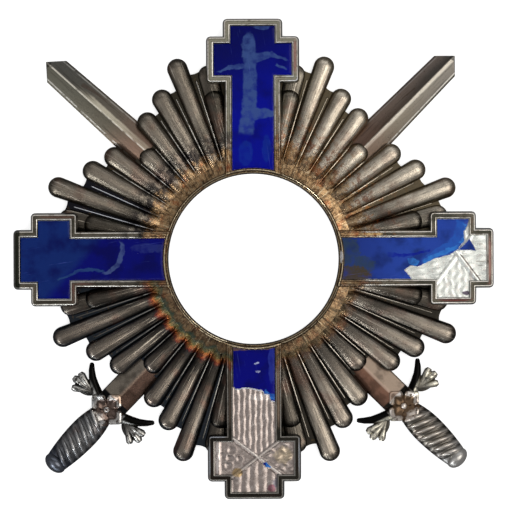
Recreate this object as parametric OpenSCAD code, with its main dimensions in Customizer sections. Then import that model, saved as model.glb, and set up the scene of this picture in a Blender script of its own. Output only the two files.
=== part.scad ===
// Order insignia: a cross with stepped arm ends in blue enamel, laid on a star of rounded rays,
// with two crossed swords that come out from beneath the rays. The middle is an open seat for a
// medallion. The badge lies on its back: +Z is up out of its face, +Y is its upper arm, and the
// origin is on the axis of the middle hole, in the plane of the back.

/* [Cross] */
// Middle of the badge to the end of an arm
reach = 30.1; // [28:0.1:33]
// Width of an arm between the hub and its crosslet, over the frame
stem_w = 7.15; // [6.8:0.05:7.5]
// Middle of the badge to the inner side of a crosslet
crosslet_in = 22.0; // [21:0.1:22.6]
// Length of a crosslet along its arm
crosslet_len = 5.9; // [5.5:0.1:6.2]
// Width of a crosslet across its arm
crosslet_w = 11.7; // [11:0.1:12.6]
// Width of the end block, outside the crosslet
block_w = 7.5; // [7.5:0.1:8.2]
// Radius of the outer corners of the frame
corner_r = 0.55; // [0.3:0.05:0.7]
// Width of the silver frame round the enamel
frame_w = 0.95; // [0.8:0.05:1.05]
// Depth of the enamel cell below the top of the frame
cell_depth = 0.6; // [0.5:0.05:0.7]

/* [Hub] */
// Radius of the open medallion seat in the middle
seat_r = 10.7; // [10:0.1:10.8]
// Outside radius of the ring round the seat
hub_r = 12.3; // [12.1:0.1:12.5]
// Width of the raised rim round the seat
rim_w = 0.3; // [0.2:0.05:0.35]

/* [Star] */
// Angle from one ray to the next
ray_pitch = 8.0; // [7.8:0.1:8.2]
// Half the width of a ray at its tip
ray_tip_hw = 1.3; // [1.15:0.05:1.35]
// Half the width of a ray at the hub
ray_root_hw = 0.88; // [0.8:0.02:0.95]
// Thickness of the plate between the rays
web_t = 0.9; // [0.9:0.05:0.95]
// Height of a ray's rounded back above the plate, at its tip
ray_rise = 0.9; // [0.75:0.05:0.95]

/* [Swords] */
// Width of a blade where it leaves the star
blade_w = 4.4; // [4:0.1:4.6]
// Width of a blade just before its point
blade_tip_w = 3.65; // [3.4:0.05:3.9]
// Middle of the badge to the point of a blade
blade_reach = 35.7; // [34:0.1:37]
// Height of a blade at its edges
blade_edge = 0.6; // [0.5:0.05:0.7]
// Height of a blade at its ridge
blade_ridge = 1.3; // [1.1:0.05:1.4]
// Widest half width of a grip
grip_hw = 2.0; // [1.7:0.05:2.1]
// Height of a grip above the back
grip_h = 2.5; // [2.2:0.05:2.7]

/* [Heights] */
// Thickness of the whole badge
badge_t = 3.0; // [2.95:0.05:3.4]
// Height of the flat beds that carry the arms
bed_t = 1.9; // [1.9:0.05:1.95]

/* [Hidden] */
// Gap between pieces that sit in one another
gap = 0.03;
// Distance that a cutting shape runs past what it cuts
past = 1;
arm_angles = [0, 90, 180, 270];
// Middle directions of the four fans of rays: upper right, upper left, lower left, lower right
quadrants = [45.1, 135.6, 226, 315];
// Directions of the four sword halves: upper right, upper left, lower left, lower right
sword_angles = [45, 136.5, 226.4, 315.6];
crosslet_out = crosslet_in + crosslet_len;
corner_steps = 4;

// Reach of a ray by its place from the diagonal: the middle ray first, then each pair beside it
ray_reach = [19.5, 22.7, 24.2, 27.0, 25.0];
side_rays = len(ray_reach) - 1;
// The plate between two rays ends this far short of the shorter one
web_short = 1.0;
// The plate under an arm ends at this radius
under_arm_r = 24.5;
ray_root_r = 13.6;
ray_root_rise = 0.7;
// What stands on the plate is rooted inside it at this height, and set in from its edge by a ledge
plate_root = 0.4;
ledge = 0.02;
dome_steps = 4;
ray_fn = 16;
collar_r = 13.0;
collar_t = 1.2;
bed_inset = 0.4;
ring_fn = 72;

annulus_t = 1.25;
rim_t = 1.5;
plate_z = bed_t + gap;
cell_floor = badge_t - cell_depth;
// The groove that splits the frame into an outer and an inner lip
groove_in = 0.3;
groove_out = 0.62;
groove_depth = 0.12;
cell_root_r = seat_r + rim_w + 0.35;

// Raised ribs on the floor of a cell, which run along each limb of the cross
rib_w = 0.36;
rib_pitch = 0.8;
rib_h = 0.08;
rib_sunk = 0.05;
rib_end_gap = 0.25;
cross_u = crosslet_in + crosslet_len / 2;
limb_hw = stem_w / 2 - frame_w;
// Run along the arm for each millimetre across it, of the two ridges that cross in the crosslet
ridge_slope = (crosslet_len / 2 - frame_w) / limb_hw;

enamel_z = cell_floor + rib_h + gap;
enamel_t = badge_t - 0.07 - enamel_z;
enamel_inset = frame_w + gap;

// Edge of the enamel that is left on the right arm: columns along the arm, across the arm
right_edge = [
  [19.9, -2.7], [18.75, -1.43], [19.65, -0.9], [20.45, -1.05], [21.45, -0.63], [22.6, -0.05],
  [24.45, 0.4], [25.4, 1.03], [26.3, 2.2], [26.2, 3.2], [26.7, 4.2], [27.1, 5.0]
];
right_flake = [[25.6, 0.98], [27.05, 2.45], [27.9, 0.87], [26.7, 0.98]];
// Edge of the enamel that is left on the bottom arm, with the same columns
bottom_edge = [
  [15.3, -2.75], [16.2, -2.3], [16.0, -1.1], [16.2, 0.16], [16.35, 1.0], [16.8, 1.25],
  [16.87, 1.9], [17.65, 2.1], [17.75, 2.75]
];
bottom_flake = [[25.5, 1.0], [25.35, 1.45], [26.15, 2.2], [26.1, 1.4]];

// Swords, in their own frame: u runs outwards from the middle of the badge, v across
blade_from = 18.9;
blade_straight = 34.2;
tang_from = 14;
tang_w = 3;
tang_t = 0.5;
slot_gap = 0.05;
stub_w = 4.1;
stub_to = 26.2;
rosette_u = 26.2;
petal_r = 1.08;
petal_out = 1.06;
petal_t = 2.0;
petal_rim_r = 0.3;
petal_fn = 12;
boss_r = 0.48;
boss_t = 2.4;
// Collar between guard and grip: columns u, half length, half width, half height
collar = [[26.2, 0.5, 1.2, 0.85], [28.2, 0.35, 1.35, 1.1]];
grip_from = 28.4;
grip_to = 35.2;
// Height of the grip's axis: its underside is cut flat at the back
grip_z = 1.05;
twists = 9;
twist_angle = 26;
twist_half = 0.62;
neck_hw = 1.35;
belly_u = 31.2;
pommel_u = 36.0;
pommel_hw = 1.45;
pommel_half = 0.8;
pommel_h = 2.3;
detail_fn = 10;
// More than the half width of the guard
hilt_room = 8;
// Horn of the guard, from the rosette to its tip: columns u, v, height of the middle, radius
horn = [[25.6, 1.7, 0.9, 0.62], [25.45, 3.0, 1.1, 0.5], [24.75, 4.3, 1.2, 0.42], [23.5, 5.2, 1.1, 0.3]];
// Lobes of the leaf that grows from the root of the horn: columns u, v, radius
lobes = [[25.75, 5.6, 0.42], [26.6, 5.15, 0.45], [27.35, 4.55, 0.42]];
leaf_root = [25.9, 2.6, 0.45];
leaf_z = 0.85;

// Pin behind the upper arm
pin_r = 0.4;
pin_z = 0.5;
pin_from = 14.2;
pin_to = 27.0;
foot_len = 2.2;
foot_w = 2.4;
foot_t = 1.1;
pin_room = 0.35;

// A quarter of a circle, from angle a0 down to a0 - 90
function quarter(cu, cv, r, a0) = [
  for (i = [0:corner_steps])
    [cu + r * cos(a0 - i * 90 / corner_steps), cv + r * sin(a0 - i * 90 / corner_steps)]
];

// One side of an arm's outline, set in by d, from the point from_u outwards
function arm_side(d, from_u) =
  let (r = max(corner_r - d, 0.05), cv = crosslet_w / 2 - d - r)
  concat(
    [[from_u, stem_w / 2 - d], [crosslet_in + d, stem_w / 2 - d]],
    quarter(crosslet_in + d + r, cv, r, 180),
    quarter(crosslet_out - d - r, cv, r, 90),
    [[crosslet_out - d, block_w / 2 - d]],
    quarter(reach - d - r, block_w / 2 - d - r, r, 90)
  );

// The whole outline of an arm that runs along +X, set in by d
function arm_outline(d, from_u = seat_r - past) =
  let (side = arm_side(d, from_u), n = len(side))
  concat(side, [for (i = [n - 1:-1:0]) [side[i][0], -side[i][1]]]);

function polar(r, a) = [r * cos(a), r * sin(a)];

// Half width of the grip at u: full at the belly, narrower to both ends
function grip_hw_at(u) =
  let (span = u < belly_u ? belly_u - grip_from : grip_to - belly_u)
  grip_hw - (grip_hw - neck_hw) * pow(abs(u - belly_u) / span, 2);

// Footprint of a ray: a long taper with two round ends
module ray_plan(angle, tip) {
  rotate(angle)
    hull() {
      translate([tip - ray_tip_hw, 0])
        circle(r = ray_tip_hw, $fn = ray_fn);
      translate([ray_root_r, 0])
        circle(r = ray_root_hw, $fn = ray_fn);
    }
}

// Dome on the end of a ray, which starts inside the plate
module ray_end(r, hw, rise) {
  translate([r, 0, 0])
    rotate_extrude($fn = ray_fn)
      polygon(concat(
        [[0, plate_root], [hw - ledge, plate_root]],
        [for (i = [1:dome_steps]) let (a = i * 90 / dome_steps) [(hw - ledge) * cos(a), web_t + rise * sin(a)]]
      ));
}

module ray(angle, tip) {
  rotate([0, 0, angle])
    hull() {
      ray_end(tip - ray_tip_hw, ray_tip_hw, ray_rise);
      ray_end(ray_root_r, ray_root_hw, ray_root_rise);
    }
}

// Plan of the plate between two directions, from the hub out to radius r
module web_plan(a0, a1, r) {
  polygon([polar(hub_r, a0), polar(r, a0), polar(r, (a0 + a1) / 2), polar(r, a1), polar(hub_r, a1)]);
}

// Plan of one fan: the feet of its rays and the plate between them
module fan_plan(middle) {
  for (k = [-side_rays:side_rays])
    ray_plan(middle + k * ray_pitch, ray_reach[abs(k)]);
  for (k = [-side_rays:side_rays - 1])
    web_plan(middle + k * ray_pitch, middle + (k + 1) * ray_pitch,
      min(ray_reach[abs(k)], ray_reach[abs(k + 1)]) - web_short);
}

module star_plan() {
  for (a = quadrants)
    fan_plan(a);
  for (i = [0:3])
    web_plan(quadrants[i] + side_rays * ray_pitch,
      quadrants[(i + 1) % 4] - side_rays * ray_pitch + (i == 3 ? 360 : 0), under_arm_r);
  for (a = arm_angles)
    rotate(a)
      polygon(arm_outline(bed_inset - ledge, hub_r - past));
  circle(r = collar_r + ledge, $fn = ring_fn);
}

// Roof-shaped blade along +X in plan outline pts, grown by g on every side but the back
module roof_bar(pts, w, g) {
  intersection() {
    linear_extrude(blade_ridge + past)
      offset_outline(pts, g);
    rotate([90, 0, 90])
      linear_extrude(blade_reach + past)
        polygon([
          [-w / 2 - g, -g], [w / 2 + g, -g], [w / 2 + g, blade_edge + g],
          [0, blade_ridge + g], [-w / 2 - g, blade_edge + g]
        ]);
  }
}

// A convex outline about the u axis, made wider by g and longer by g at both ends
module offset_outline(pts, g) {
  first = pts[0][0];
  polygon([for (p = pts) [p[0] + (p[0] == first ? -g : g), p[1] + sign(p[1]) * g]]);
}

module tang(g) {
  translate([tang_from - g, -tang_w / 2 - g, -g])
    cube([blade_from + 1 - tang_from + g, tang_w + 2 * g, tang_t + 2 * g]);
}

module blade_form(g) {
  roof_bar([
    [blade_from, -blade_w / 2], [blade_from, blade_w / 2],
    [blade_straight, blade_tip_w / 2], [blade_reach, 0], [blade_straight, -blade_tip_w / 2]
  ], blade_w, g);
  tang(g);
}

module stub_form(g) {
  roof_bar([
    [blade_from, -stub_w / 2], [blade_from, stub_w / 2], [stub_to, stub_w / 2], [stub_to, -stub_w / 2]
  ], stub_w, g);
  tang(g);
}

module pin_form(g) {
  translate([0, pin_from - g, pin_z])
    rotate([-90, 0, 0])
      cylinder(r = pin_r + g, h = pin_to - pin_from + 2 * g, $fn = 24);
}

module pin_foot(g) {
  translate([-foot_w / 2 - g, pin_to - foot_len - g, 0])
    cube([foot_w + 2 * g, foot_len + 2 * g, foot_t + g]);
}

module ray_star() {
  color([0.50, 0.46, 0.40])
    difference() {
      union() {
        linear_extrude(web_t)
          star_plan();
        for (a = quadrants, k = [-side_rays:side_rays])
          ray(a + k * ray_pitch, ray_reach[abs(k)]);
        translate([0, 0, plate_root]) {
          for (a = arm_angles)
            rotate([0, 0, a])
              linear_extrude(bed_t - plate_root)
                polygon(arm_outline(bed_inset, hub_r - past));
          cylinder(r = collar_r, h = collar_t - plate_root, $fn = ring_fn);
        }
      }
      translate([0, 0, -past])
        cylinder(r = hub_r + 2 * gap, h = badge_t + 2 * past, $fn = ring_fn);
      for (a = [sword_angles[0], sword_angles[1]])
        rotate([0, 0, a])
          blade_form(slot_gap);
      for (a = [sword_angles[2], sword_angles[3]])
        rotate([0, 0, a])
          stub_form(slot_gap);
      pin_form(pin_room);
      translate([-pin_r - pin_room, pin_from - pin_room, -past])
        cube([2 * (pin_r + pin_room), pin_to - pin_from + pin_room, past + pin_z]);
      translate([0, 0, -gap])
        pin_foot(gap);
    }
}

// Ribs on the floor of one cell: along the stem and the end block, across in the side blocks
module cell_ribs() {
  rows = floor((limb_hw - rib_w / 2) / rib_pitch);
  translate([0, 0, cell_floor - rib_sunk])
    linear_extrude(rib_h + rib_sunk) {
      for (i = [-rows:rows]) {
        v = i * rib_pitch;
        ridge_run = abs(v) * ridge_slope + rib_end_gap + rib_w / 2;
        root_u = sqrt(pow(cell_root_r + rib_end_gap, 2) - v * v);
        translate([root_u, v - rib_w / 2])
          square([cross_u - ridge_run - root_u, rib_w]);
        translate([cross_u + ridge_run, v - rib_w / 2])
          square([reach - frame_w - rib_end_gap - cross_u - ridge_run, rib_w]);
      }
      for (i = [-1:1], side = [-1, 1]) {
        u = i * rib_pitch;
        from_v = abs(u) / ridge_slope + rib_end_gap + rib_w / 2;
        translate([cross_u + u - rib_w / 2, side > 0 ? from_v : frame_w + rib_end_gap - crosslet_w / 2])
          square([rib_w, crosslet_w / 2 - frame_w - rib_end_gap - from_v]);
      }
      for (side = [-1, 1])
        translate([cross_u, 0])
          rotate([0, 0, side * atan(1 / ridge_slope)])
            square([2 * norm([crosslet_len / 2 - frame_w, limb_hw]) - 2 * rib_end_gap, rib_w], center = true);
    }
}

module cell(d, z) {
  translate([0, 0, z])
    difference() {
      linear_extrude(badge_t)
        polygon(arm_outline(d));
      translate([0, 0, -past])
        cylinder(r = cell_root_r + d - frame_w, h = badge_t + 2 * past, $fn = ring_fn);
    }
}

module frame_groove() {
  difference() {
    cell(groove_in, badge_t - groove_depth);
    translate([0, 0, -past])
      linear_extrude(badge_t + 3 * past)
        polygon(arm_outline(groove_out));
  }
}

module cross_frame() {
  color([0.62, 0.60, 0.56]) {
    difference() {
      union() {
        cylinder(r = hub_r, h = annulus_t, $fn = ring_fn);
        cylinder(r = seat_r + rim_w, h = rim_t, $fn = ring_fn);
        for (a = arm_angles)
          rotate([0, 0, a]) {
            translate([0, 0, plate_z])
              linear_extrude(badge_t - plate_z)
                polygon(arm_outline(0));
            intersection() {
              cylinder(r = hub_r, h = plate_z + past / 2, $fn = ring_fn);
              translate([0, -stem_w / 2, 0])
                cube([hub_r + past, stem_w, plate_z + past / 2]);
            }
          }
      }
      translate([0, 0, -past])
        cylinder(r = seat_r, h = badge_t + 2 * past, $fn = ring_fn);
      translate([0, 0, rim_t])
        cylinder(r = seat_r + rim_w, h = badge_t, $fn = ring_fn);
      for (a = arm_angles)
        rotate([0, 0, a]) {
          cell(frame_w, cell_floor);
          frame_groove();
        }
    }
    for (a = arm_angles)
      rotate([0, 0, a])
        cell_ribs();
  }
}

// Enamel of a whole cell, along +X
module enamel_slab() {
  translate([0, 0, enamel_z])
    difference() {
      linear_extrude(enamel_t)
        polygon(arm_outline(enamel_inset));
      translate([0, 0, -past])
        cylinder(r = cell_root_r + gap, h = enamel_t + 2 * past, $fn = ring_fn);
    }
}

// What is left of a slab inside a broken edge, which runs from one side of the arm to the other
module enamel_left_of(edge) {
  last = len(edge) - 1;
  intersection() {
    enamel_slab();
    linear_extrude(badge_t + past)
      polygon(concat([[0, edge[0][1] - past], [edge[0][0], edge[0][1] - past]], edge,
        [[edge[last][0], edge[last][1] + past], [0, edge[last][1] + past]]));
  }
}

module enamel_flake(outline) {
  translate([0, 0, enamel_z])
    linear_extrude(enamel_t)
      polygon(outline);
}

module enamel_top() {
  color([0.05, 0.07, 0.50])
    rotate([0, 0, 90])
      enamel_slab();
}

module enamel_left() {
  color([0.08, 0.14, 0.48])
    rotate([0, 0, 180])
      enamel_slab();
}

module enamel_right() {
  color([0.16, 0.26, 0.65])
    enamel_left_of(right_edge);
}

module enamel_bottom() {
  color([0.04, 0.08, 0.50])
    rotate([0, 0, 270])
      enamel_left_of(bottom_edge);
}

module enamel_right_flake() {
  color([0.16, 0.26, 0.65])
    enamel_flake(right_flake);
}

module enamel_bottom_flake() {
  color([0.06, 0.16, 0.50])
    rotate([0, 0, 270])
      enamel_flake(bottom_flake);
}

module sword_blade() {
  color([0.45, 0.43, 0.38])
    blade_form(0);
}

// A rod with round ends between two rows of a table whose columns are u, v, height and radius
module rod(a, b) {
  hull()
    for (p = [a, b])
      translate([p[0], p[1], p[2]])
        sphere(r = p[3], $fn = detail_fn);
}

// Quatrefoil over the guard: four round petals with raised rims and a boss in the middle
module rosette() {
  translate([rosette_u, 0, 0]) {
    for (a = arm_angles)
      rotate([0, 0, a])
        translate([petal_out, 0, 0]) {
          cylinder(r = petal_r, h = petal_t, $fn = petal_fn);
          translate([0, 0, petal_t])
            rotate_extrude($fn = petal_fn)
              translate([petal_r - petal_rim_r, 0])
                circle(r = petal_rim_r, $fn = petal_fn / 2);
        }
    cylinder(r = boss_r, h = boss_t, $fn = petal_fn);
  }
}

module guard() {
  for (side = [0, 1])
    mirror([0, side, 0]) {
      for (i = [0:len(horn) - 2])
        rod(horn[i], horn[i + 1]);
      for (lobe = lobes)
        rod([leaf_root[0], leaf_root[1], leaf_z, leaf_root[2]], [lobe[0], lobe[1], leaf_z, lobe[2]]);
    }
}

// Grip wound with slanting strands, the collar at its root and the pommel at its end
module grip() {
  step = (grip_to - grip_from) / twists;
  for (i = [0:twists - 1]) {
    u = grip_from + (i + 0.5) * step;
    hw = grip_hw_at(u);
    translate([u, 0, grip_z])
      rotate([0, 0, twist_angle])
        scale([twist_half, hw, (grip_h - grip_z) * hw / grip_hw])
          sphere(r = 1, $fn = detail_fn + 2);
  }
  translate([pommel_u, 0, pommel_h / 2])
    scale([pommel_half, pommel_hw, pommel_h / 2])
      sphere(r = 1, $fn = detail_fn + 2);
  hull()
    for (row = collar)
      translate([row[0], 0, row[3]])
        scale([row[1], row[2], row[3]])
          sphere(r = 1, $fn = detail_fn);
}

module sword_hilt() {
  color([0.40, 0.38, 0.33])
    difference() {
      union() {
        stub_form(0);
        rosette();
        guard();
        grip();
      }
      translate([0, -hilt_room, -2 * past])
        cube([blade_reach + hilt_room, 2 * hilt_room, 2 * past]);
    }
}

module sword_blade_left() {
  rotate([0, 0, sword_angles[1]])
    sword_blade();
}

module sword_blade_right() {
  rotate([0, 0, sword_angles[0]])
    sword_blade();
}

module sword_hilt_left() {
  rotate([0, 0, sword_angles[2]])
    sword_hilt();
}

module sword_hilt_right() {
  rotate([0, 0, sword_angles[3]])
    sword_hilt();
}

// Plain wire pin along the back of the upper arm, with the foot that it is fixed by
module back_pin() {
  color([0.55, 0.55, 0.53]) {
    pin_form(0);
    pin_foot(0);
  }
}

ray_star();
cross_frame();
enamel_top();
enamel_left();
enamel_right();
enamel_bottom();
enamel_right_flake();
enamel_bottom_flake();
sword_blade_left();
sword_blade_right();
sword_hilt_left();
sword_hilt_right();
back_pin();
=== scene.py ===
"""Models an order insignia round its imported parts, and lights it for a view from above.

The badge is a cross of four framed arms in blue enamel, laid on a star of rounded rays, with two
crossed swords that come out from beneath the rays. The middle is an open seat for a medallion.
All modelling is done in millimetres, and each finished piece is then brought to its real size.
"""

import math
import random
from contextlib import contextmanager
from functools import reduce
from types import SimpleNamespace

import bmesh
import bpy
from bpy.props import FloatProperty, FloatVectorProperty, PointerProperty
from mathutils import Matrix, Vector


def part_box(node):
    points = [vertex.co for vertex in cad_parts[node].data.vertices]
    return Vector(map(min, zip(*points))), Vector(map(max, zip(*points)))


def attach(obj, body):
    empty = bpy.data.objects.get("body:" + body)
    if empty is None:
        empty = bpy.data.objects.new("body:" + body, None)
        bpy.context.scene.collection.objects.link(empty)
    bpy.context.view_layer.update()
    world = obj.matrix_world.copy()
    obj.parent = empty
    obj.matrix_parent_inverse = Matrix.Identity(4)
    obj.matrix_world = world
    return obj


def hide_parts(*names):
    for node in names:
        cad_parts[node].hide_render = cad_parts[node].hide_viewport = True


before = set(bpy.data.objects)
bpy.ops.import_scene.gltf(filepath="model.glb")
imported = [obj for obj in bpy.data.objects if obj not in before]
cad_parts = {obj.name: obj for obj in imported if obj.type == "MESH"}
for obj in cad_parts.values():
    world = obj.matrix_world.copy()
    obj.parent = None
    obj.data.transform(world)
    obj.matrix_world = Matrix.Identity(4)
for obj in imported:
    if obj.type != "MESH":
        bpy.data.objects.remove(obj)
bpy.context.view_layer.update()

bl_info = {
    "name": "Order Insignia with Swords",
    "version": (1, 0, 0),
    "blender": (4, 5, 0),
    "location": "3D View > Sidebar > Insignia",
    "description": "Models and finishes an enamelled order cross on a star of rays with swords",
    "category": "Add Mesh",
}

MM = 0.001
# Two points nearer than this, in millimetres, are one
TOUCH = 0.0005
# Gap round a piece that sits in another
GAP = 0.03
ARM_ANGLES = {"right": 0, "top": 90, "left": 180, "bottom": 270}
FAN_ANGLES = {"upper_right": 45.1, "upper_left": 135.6, "lower_left": 226.0, "lower_right": 315.0}
# Degrees from one ray to the next
RAY_PITCH = 8.0
# Each blade's direction, and how far its middle line passes the badge's middle on its left
BLADES = {"right": (45.0, 0.0), "left": (138.0, -1.1)}
HILTS = {"left": (225.8, -0.13), "right": (315.4, 0.0)}
# Reach of a ray by its place from the diagonal: the middle ray first, then each pair beside it
RAY_REACH = (19.5, 22.7, 24.2, 27.0, 25.0)
# Reach of the plate between two rays, and its horns towards the inner and the outer ray
WEB_ENDS = ((19.3, 0.0, 0.2), (21.8, 0.1, 0.8), (23.2, 0.4, 0.9), (24.4, 0.9, 0.5))
# How single rays differ, by place from the diagonal: how much longer, turned by how many degrees
RAY_CHANGES = {
    "upper_left": {3: (0.4, 0), 2: (0.1, -0.5), 1: (0.25, 0), -1: (0.3, 0), -2: (0.15, 0)},
    "upper_right": {
        3: (0, 0.5), 1: (0.6, 0), 0: (0.45, 0), -1: (0.3, 0), -2: (0.3, -0.5), -3: (0, -1.0),
    },
    "lower_left": {-3: (0.15, 0), 3: (0, -0.3)},
    "lower_right": {3: (0.2, -0.4), 2: (0.15, 0), -1: (0.2, 0), -3: (0.25, 0.4)},
}
# The ray next to an arm has its full height only up to the crosslet, and a lower lobe past it
NEXT_TO_ARM = 4
NEXT_TO_ARM_REACH = 21.9
# Where the short blade of a hilt ends beneath the rosette, and the gap in the seats of the swords
STUB_END = 26.2
SEAT_GAP = 0.05
# Winding of the grips: its strands, where it starts, from one to the next, how far a strand leans
STRANDS = 7
GRIP_START = 27.9
STRAND_PITCH = 1.03
GRIP_LEAN = 26
# Middle of the rosette of a hilt, and height of the middle of the grip
ROSETTE_U = 26.4
GRIP_Z = 1.05
# The pin: its radius, the places of its rings, and the lowest and the highest corner of its foot
PIN_RADIUS = 0.4
PIN_RINGS = (14.5, 20.0, 26.7)
PIN_FOOT = ((-1.2, 24.8, 0), (1.2, 27.0, 1.1))
# Slope of the chased cross that divides the ground of an arm end
CROSS_SLOPE = 0.76


# Sizes and colours that a user would change


def length(name, description, millimetres):
    """A length, with its default given in millimetres."""
    return FloatProperty(
        name=name, description=description, default=millimetres * MM, unit="LENGTH", precision=5
    )


def shade(name, description, channels):
    """A colour, with its default as linear red, green and blue."""
    return FloatVectorProperty(
        name=name, description=description, default=channels, subtype="COLOR", min=0, max=1
    )


def linear(code):
    """The linear colour of six hexadecimal digits."""
    channels = [int(code[i : i + 2], 16) / 255 for i in (0, 2, 4)]
    return tuple(c / 12.92 if c <= 0.04045 else ((c + 0.055) / 1.055) ** 2.4 for c in channels)


class CrossSizes(bpy.types.PropertyGroup):
    """Sizes of the four arms and the ring round the seat"""

    reach: length("Reach", "Middle of the badge to the end of an arm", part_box("cross_frame")[1].x / MM)
    height: length("Height", "Thickness of the whole badge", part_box("cross_frame")[1].z / MM)
    stem_w: length("Stem width", "Width of an arm between hub and crosslet", 7.15)
    crosslet_in: length("Crosslet start", "Middle of the badge to the inner side of a crosslet", 22.0)
    crosslet_len: length("Crosslet length", "Length of a crosslet along its arm", 5.9)
    crosslet_w: length("Crosslet width", "Width of a crosslet across its arm", 11.7)
    block_w: length("Block width", "Width of the end block outside the crosslet", 7.5)
    corner_r: length("Corner radius", "Radius of the outer corners of the frame", 0.55)
    frame_w: length("Frame width", "Width of the silver frame round the enamel", 0.95)
    cell_depth: length("Cell depth", "Depth of the enamel cell below the frame", 0.6)
    seat_r: length("Seat radius", "Radius of the open medallion seat", 10.7)
    hub_r: length("Hub radius", "Outside radius of the ring round the seat", 12.3)
    bed_t: length("Bed height", "Height of the beds that carry the arms", 1.9)


class StarSizes(bpy.types.PropertyGroup):
    """Sizes of the rays and the plate between them"""

    pitch: FloatProperty(
        name="Ray pitch", description="Angle from one ray to the next", default=math.radians(RAY_PITCH),
        unit="ROTATION", subtype="ANGLE",
    )
    tip_hw: length("Tip half width", "Half the width of a ray at its tip", 1.3)
    root_hw: length("Root half width", "Half the width of a ray at the hub", 0.88)
    web_t: length("Plate thickness", "Thickness of the plate between the rays", 0.9)
    rise: length("Ray rise", "Height of a ray's rounded back above the plate", 0.9)
    line_w: length("Line width", "Width of the thin raised line between two rays", 0.19)
    collar_r: length("Collar radius", "Radius that the flat collar round the hub reaches", 13.0)
    collar_t: length("Collar thickness", "Height of the collar round the hub", 1.2)


class SwordSizes(bpy.types.PropertyGroup):
    """Sizes of the two crossed swords"""

    start: length("Start", "Middle of the badge to where a blade begins", 18.9)
    blade_reach: length("Blade reach", "Middle of the badge to the point of a blade", 35.7)
    straight: length("Straight", "Middle of the badge to where a blade's point begins", 34.2)
    blade_w: length("Blade width", "Width of a blade where it leaves the star", 4.4)
    tip_w: length("Tip width", "Width of a blade just before its point", 3.65)
    stub_w: length("Stub width", "Width of the short blade above a hilt", 4.1)
    edge: length("Edge height", "Height of a blade at its edges", 0.6)
    ridge: length("Ridge height", "Height of a blade at its ridge", 1.3)
    grip_hw: length("Grip half width", "Widest half width of a grip", 2.0)
    grip_h: length("Grip height", "Height of a grip above the back", 2.5)


class EnamelColours(bpy.types.PropertyGroup):
    """Colours of the enamel in each arm"""

    top_inner: shade("Top, inner", "Top arm beside the ring", (0.001, 0.005, 0.36))
    top_outer: shade("Top, outer", "Top arm at its end", (0.001, 0.003, 0.12))
    left_inner: shade("Left, inner", "Left arm beside the ring", (0.001, 0.003, 0.19))
    left_outer: shade("Left, outer", "Left arm at its end", (0.006, 0.028, 0.19))
    right_inner: shade("Right, inner", "Right arm beside the ring", (0.022, 0.055, 0.34))
    right_outer: shade("Right, outer", "Right arm beside its broken edge", (0.030, 0.085, 0.50))
    bottom_inner: shade("Bottom, inner", "Bottom arm beside the ring", (0.001, 0.002, 0.22))
    bottom_outer: shade("Bottom, outer", "Bottom arm beside its broken edge", (0.001, 0.002, 0.25))


class StageSettings(bpy.types.PropertyGroup):
    """Camera and lights"""

    camera_height: FloatProperty(
        name="Camera height", description="Height of the camera above the floor", default=0.40,
        unit="LENGTH",
    )
    key: FloatProperty(name="Key light", description="Brightness of the large softbox", default=2.2)
    top: FloatProperty(name="Top light", description="Brightness of the light overhead", default=0.28)
    strip: FloatProperty(name="Strip light", description="Brightness of the low strip", default=6.0)
    room: FloatProperty(name="Room", description="Brightness of the room round the badge", default=0.2)


def in_mm(group):
    """The values of a property group by name, with its lengths in millimetres."""
    values = {}
    for name in type(group).__annotations__:
        is_length = group.bl_rna.properties[name].unit == "LENGTH"
        values[name] = getattr(group, name) / (MM if is_length else 1)
    return SimpleNamespace(**values)


def cross_sizes(context):
    sizes = in_mm(context.scene.insignia_cross)
    sizes.crosslet_out = sizes.crosslet_in + sizes.crosslet_len
    return sizes


# Modelling by hand


def select_only(*objects):
    """Selects these objects and nothing else, the first one active."""
    bpy.ops.object.select_all(action="DESELECT")
    for obj in objects:
        obj.select_set(True)
    bpy.context.view_layer.objects.active = objects[0]


def start(kind, name, scale=(1, 1, 1), **settings):
    """Adds a primitive at its size and place, with the place in its mesh."""
    bpy.ops.object.select_all(action="DESELECT")
    getattr(bpy.ops.mesh, f"primitive_{kind}_add")(**settings)
    obj = bpy.context.object
    obj.name = name
    obj.data.name = name
    obj.scale = scale
    bpy.ops.object.transform_apply(location=True, rotation=True, scale=True)
    return obj


def block(name, low, high):
    """A box from its lowest to its highest corner."""
    low, high = Vector(low), Vector(high)
    return start("cube", name, size=1, location=(low + high) / 2, scale=high - low)


@contextmanager
def editing(obj):
    """Edit mode on one object, with nothing selected in its mesh."""
    select_only(obj)
    bpy.ops.object.mode_set(mode="EDIT")
    bpy.ops.mesh.select_all(action="DESELECT")
    yield
    bpy.ops.object.mode_set(mode="OBJECT")


def middle(edge):
    return (edge.verts[0].co + edge.verts[1].co) / 2


def pick(kind, test=lambda member: True):
    """Selects the corners, edges or faces that pass a test, and nothing else."""
    bpy.ops.mesh.select_mode(type=kind)
    bpy.ops.mesh.select_all(action="DESELECT")
    mesh = bpy.context.edit_object.data
    shape = bmesh.from_edit_mesh(mesh)
    shape.normal_update()
    members = {"VERT": shape.verts, "EDGE": shape.edges, "FACE": shape.faces}[kind]
    for member in members:
        if test(member):
            member.select_set(True)
    shape.select_flush_mode()
    bmesh.update_edit_mesh(mesh)


def settle(rule):
    """Moves each selected corner to where a rule puts it."""
    mesh = bpy.context.edit_object.data
    shape = bmesh.from_edit_mesh(mesh)
    for corner in shape.verts:
        if corner.select:
            corner.co = rule(corner.co)
    bmesh.update_edit_mesh(mesh)


def extrude(x=0.0, y=0.0, z=0.0):
    bpy.ops.mesh.extrude_region_move(TRANSFORM_OT_translate={"value": (x, y, z)})


def shift(x=0.0, y=0.0, z=0.0):
    bpy.ops.transform.translate(value=(x, y, z))


def resize(scale, about):
    bpy.ops.transform.resize(value=scale, center_override=about)


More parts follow.
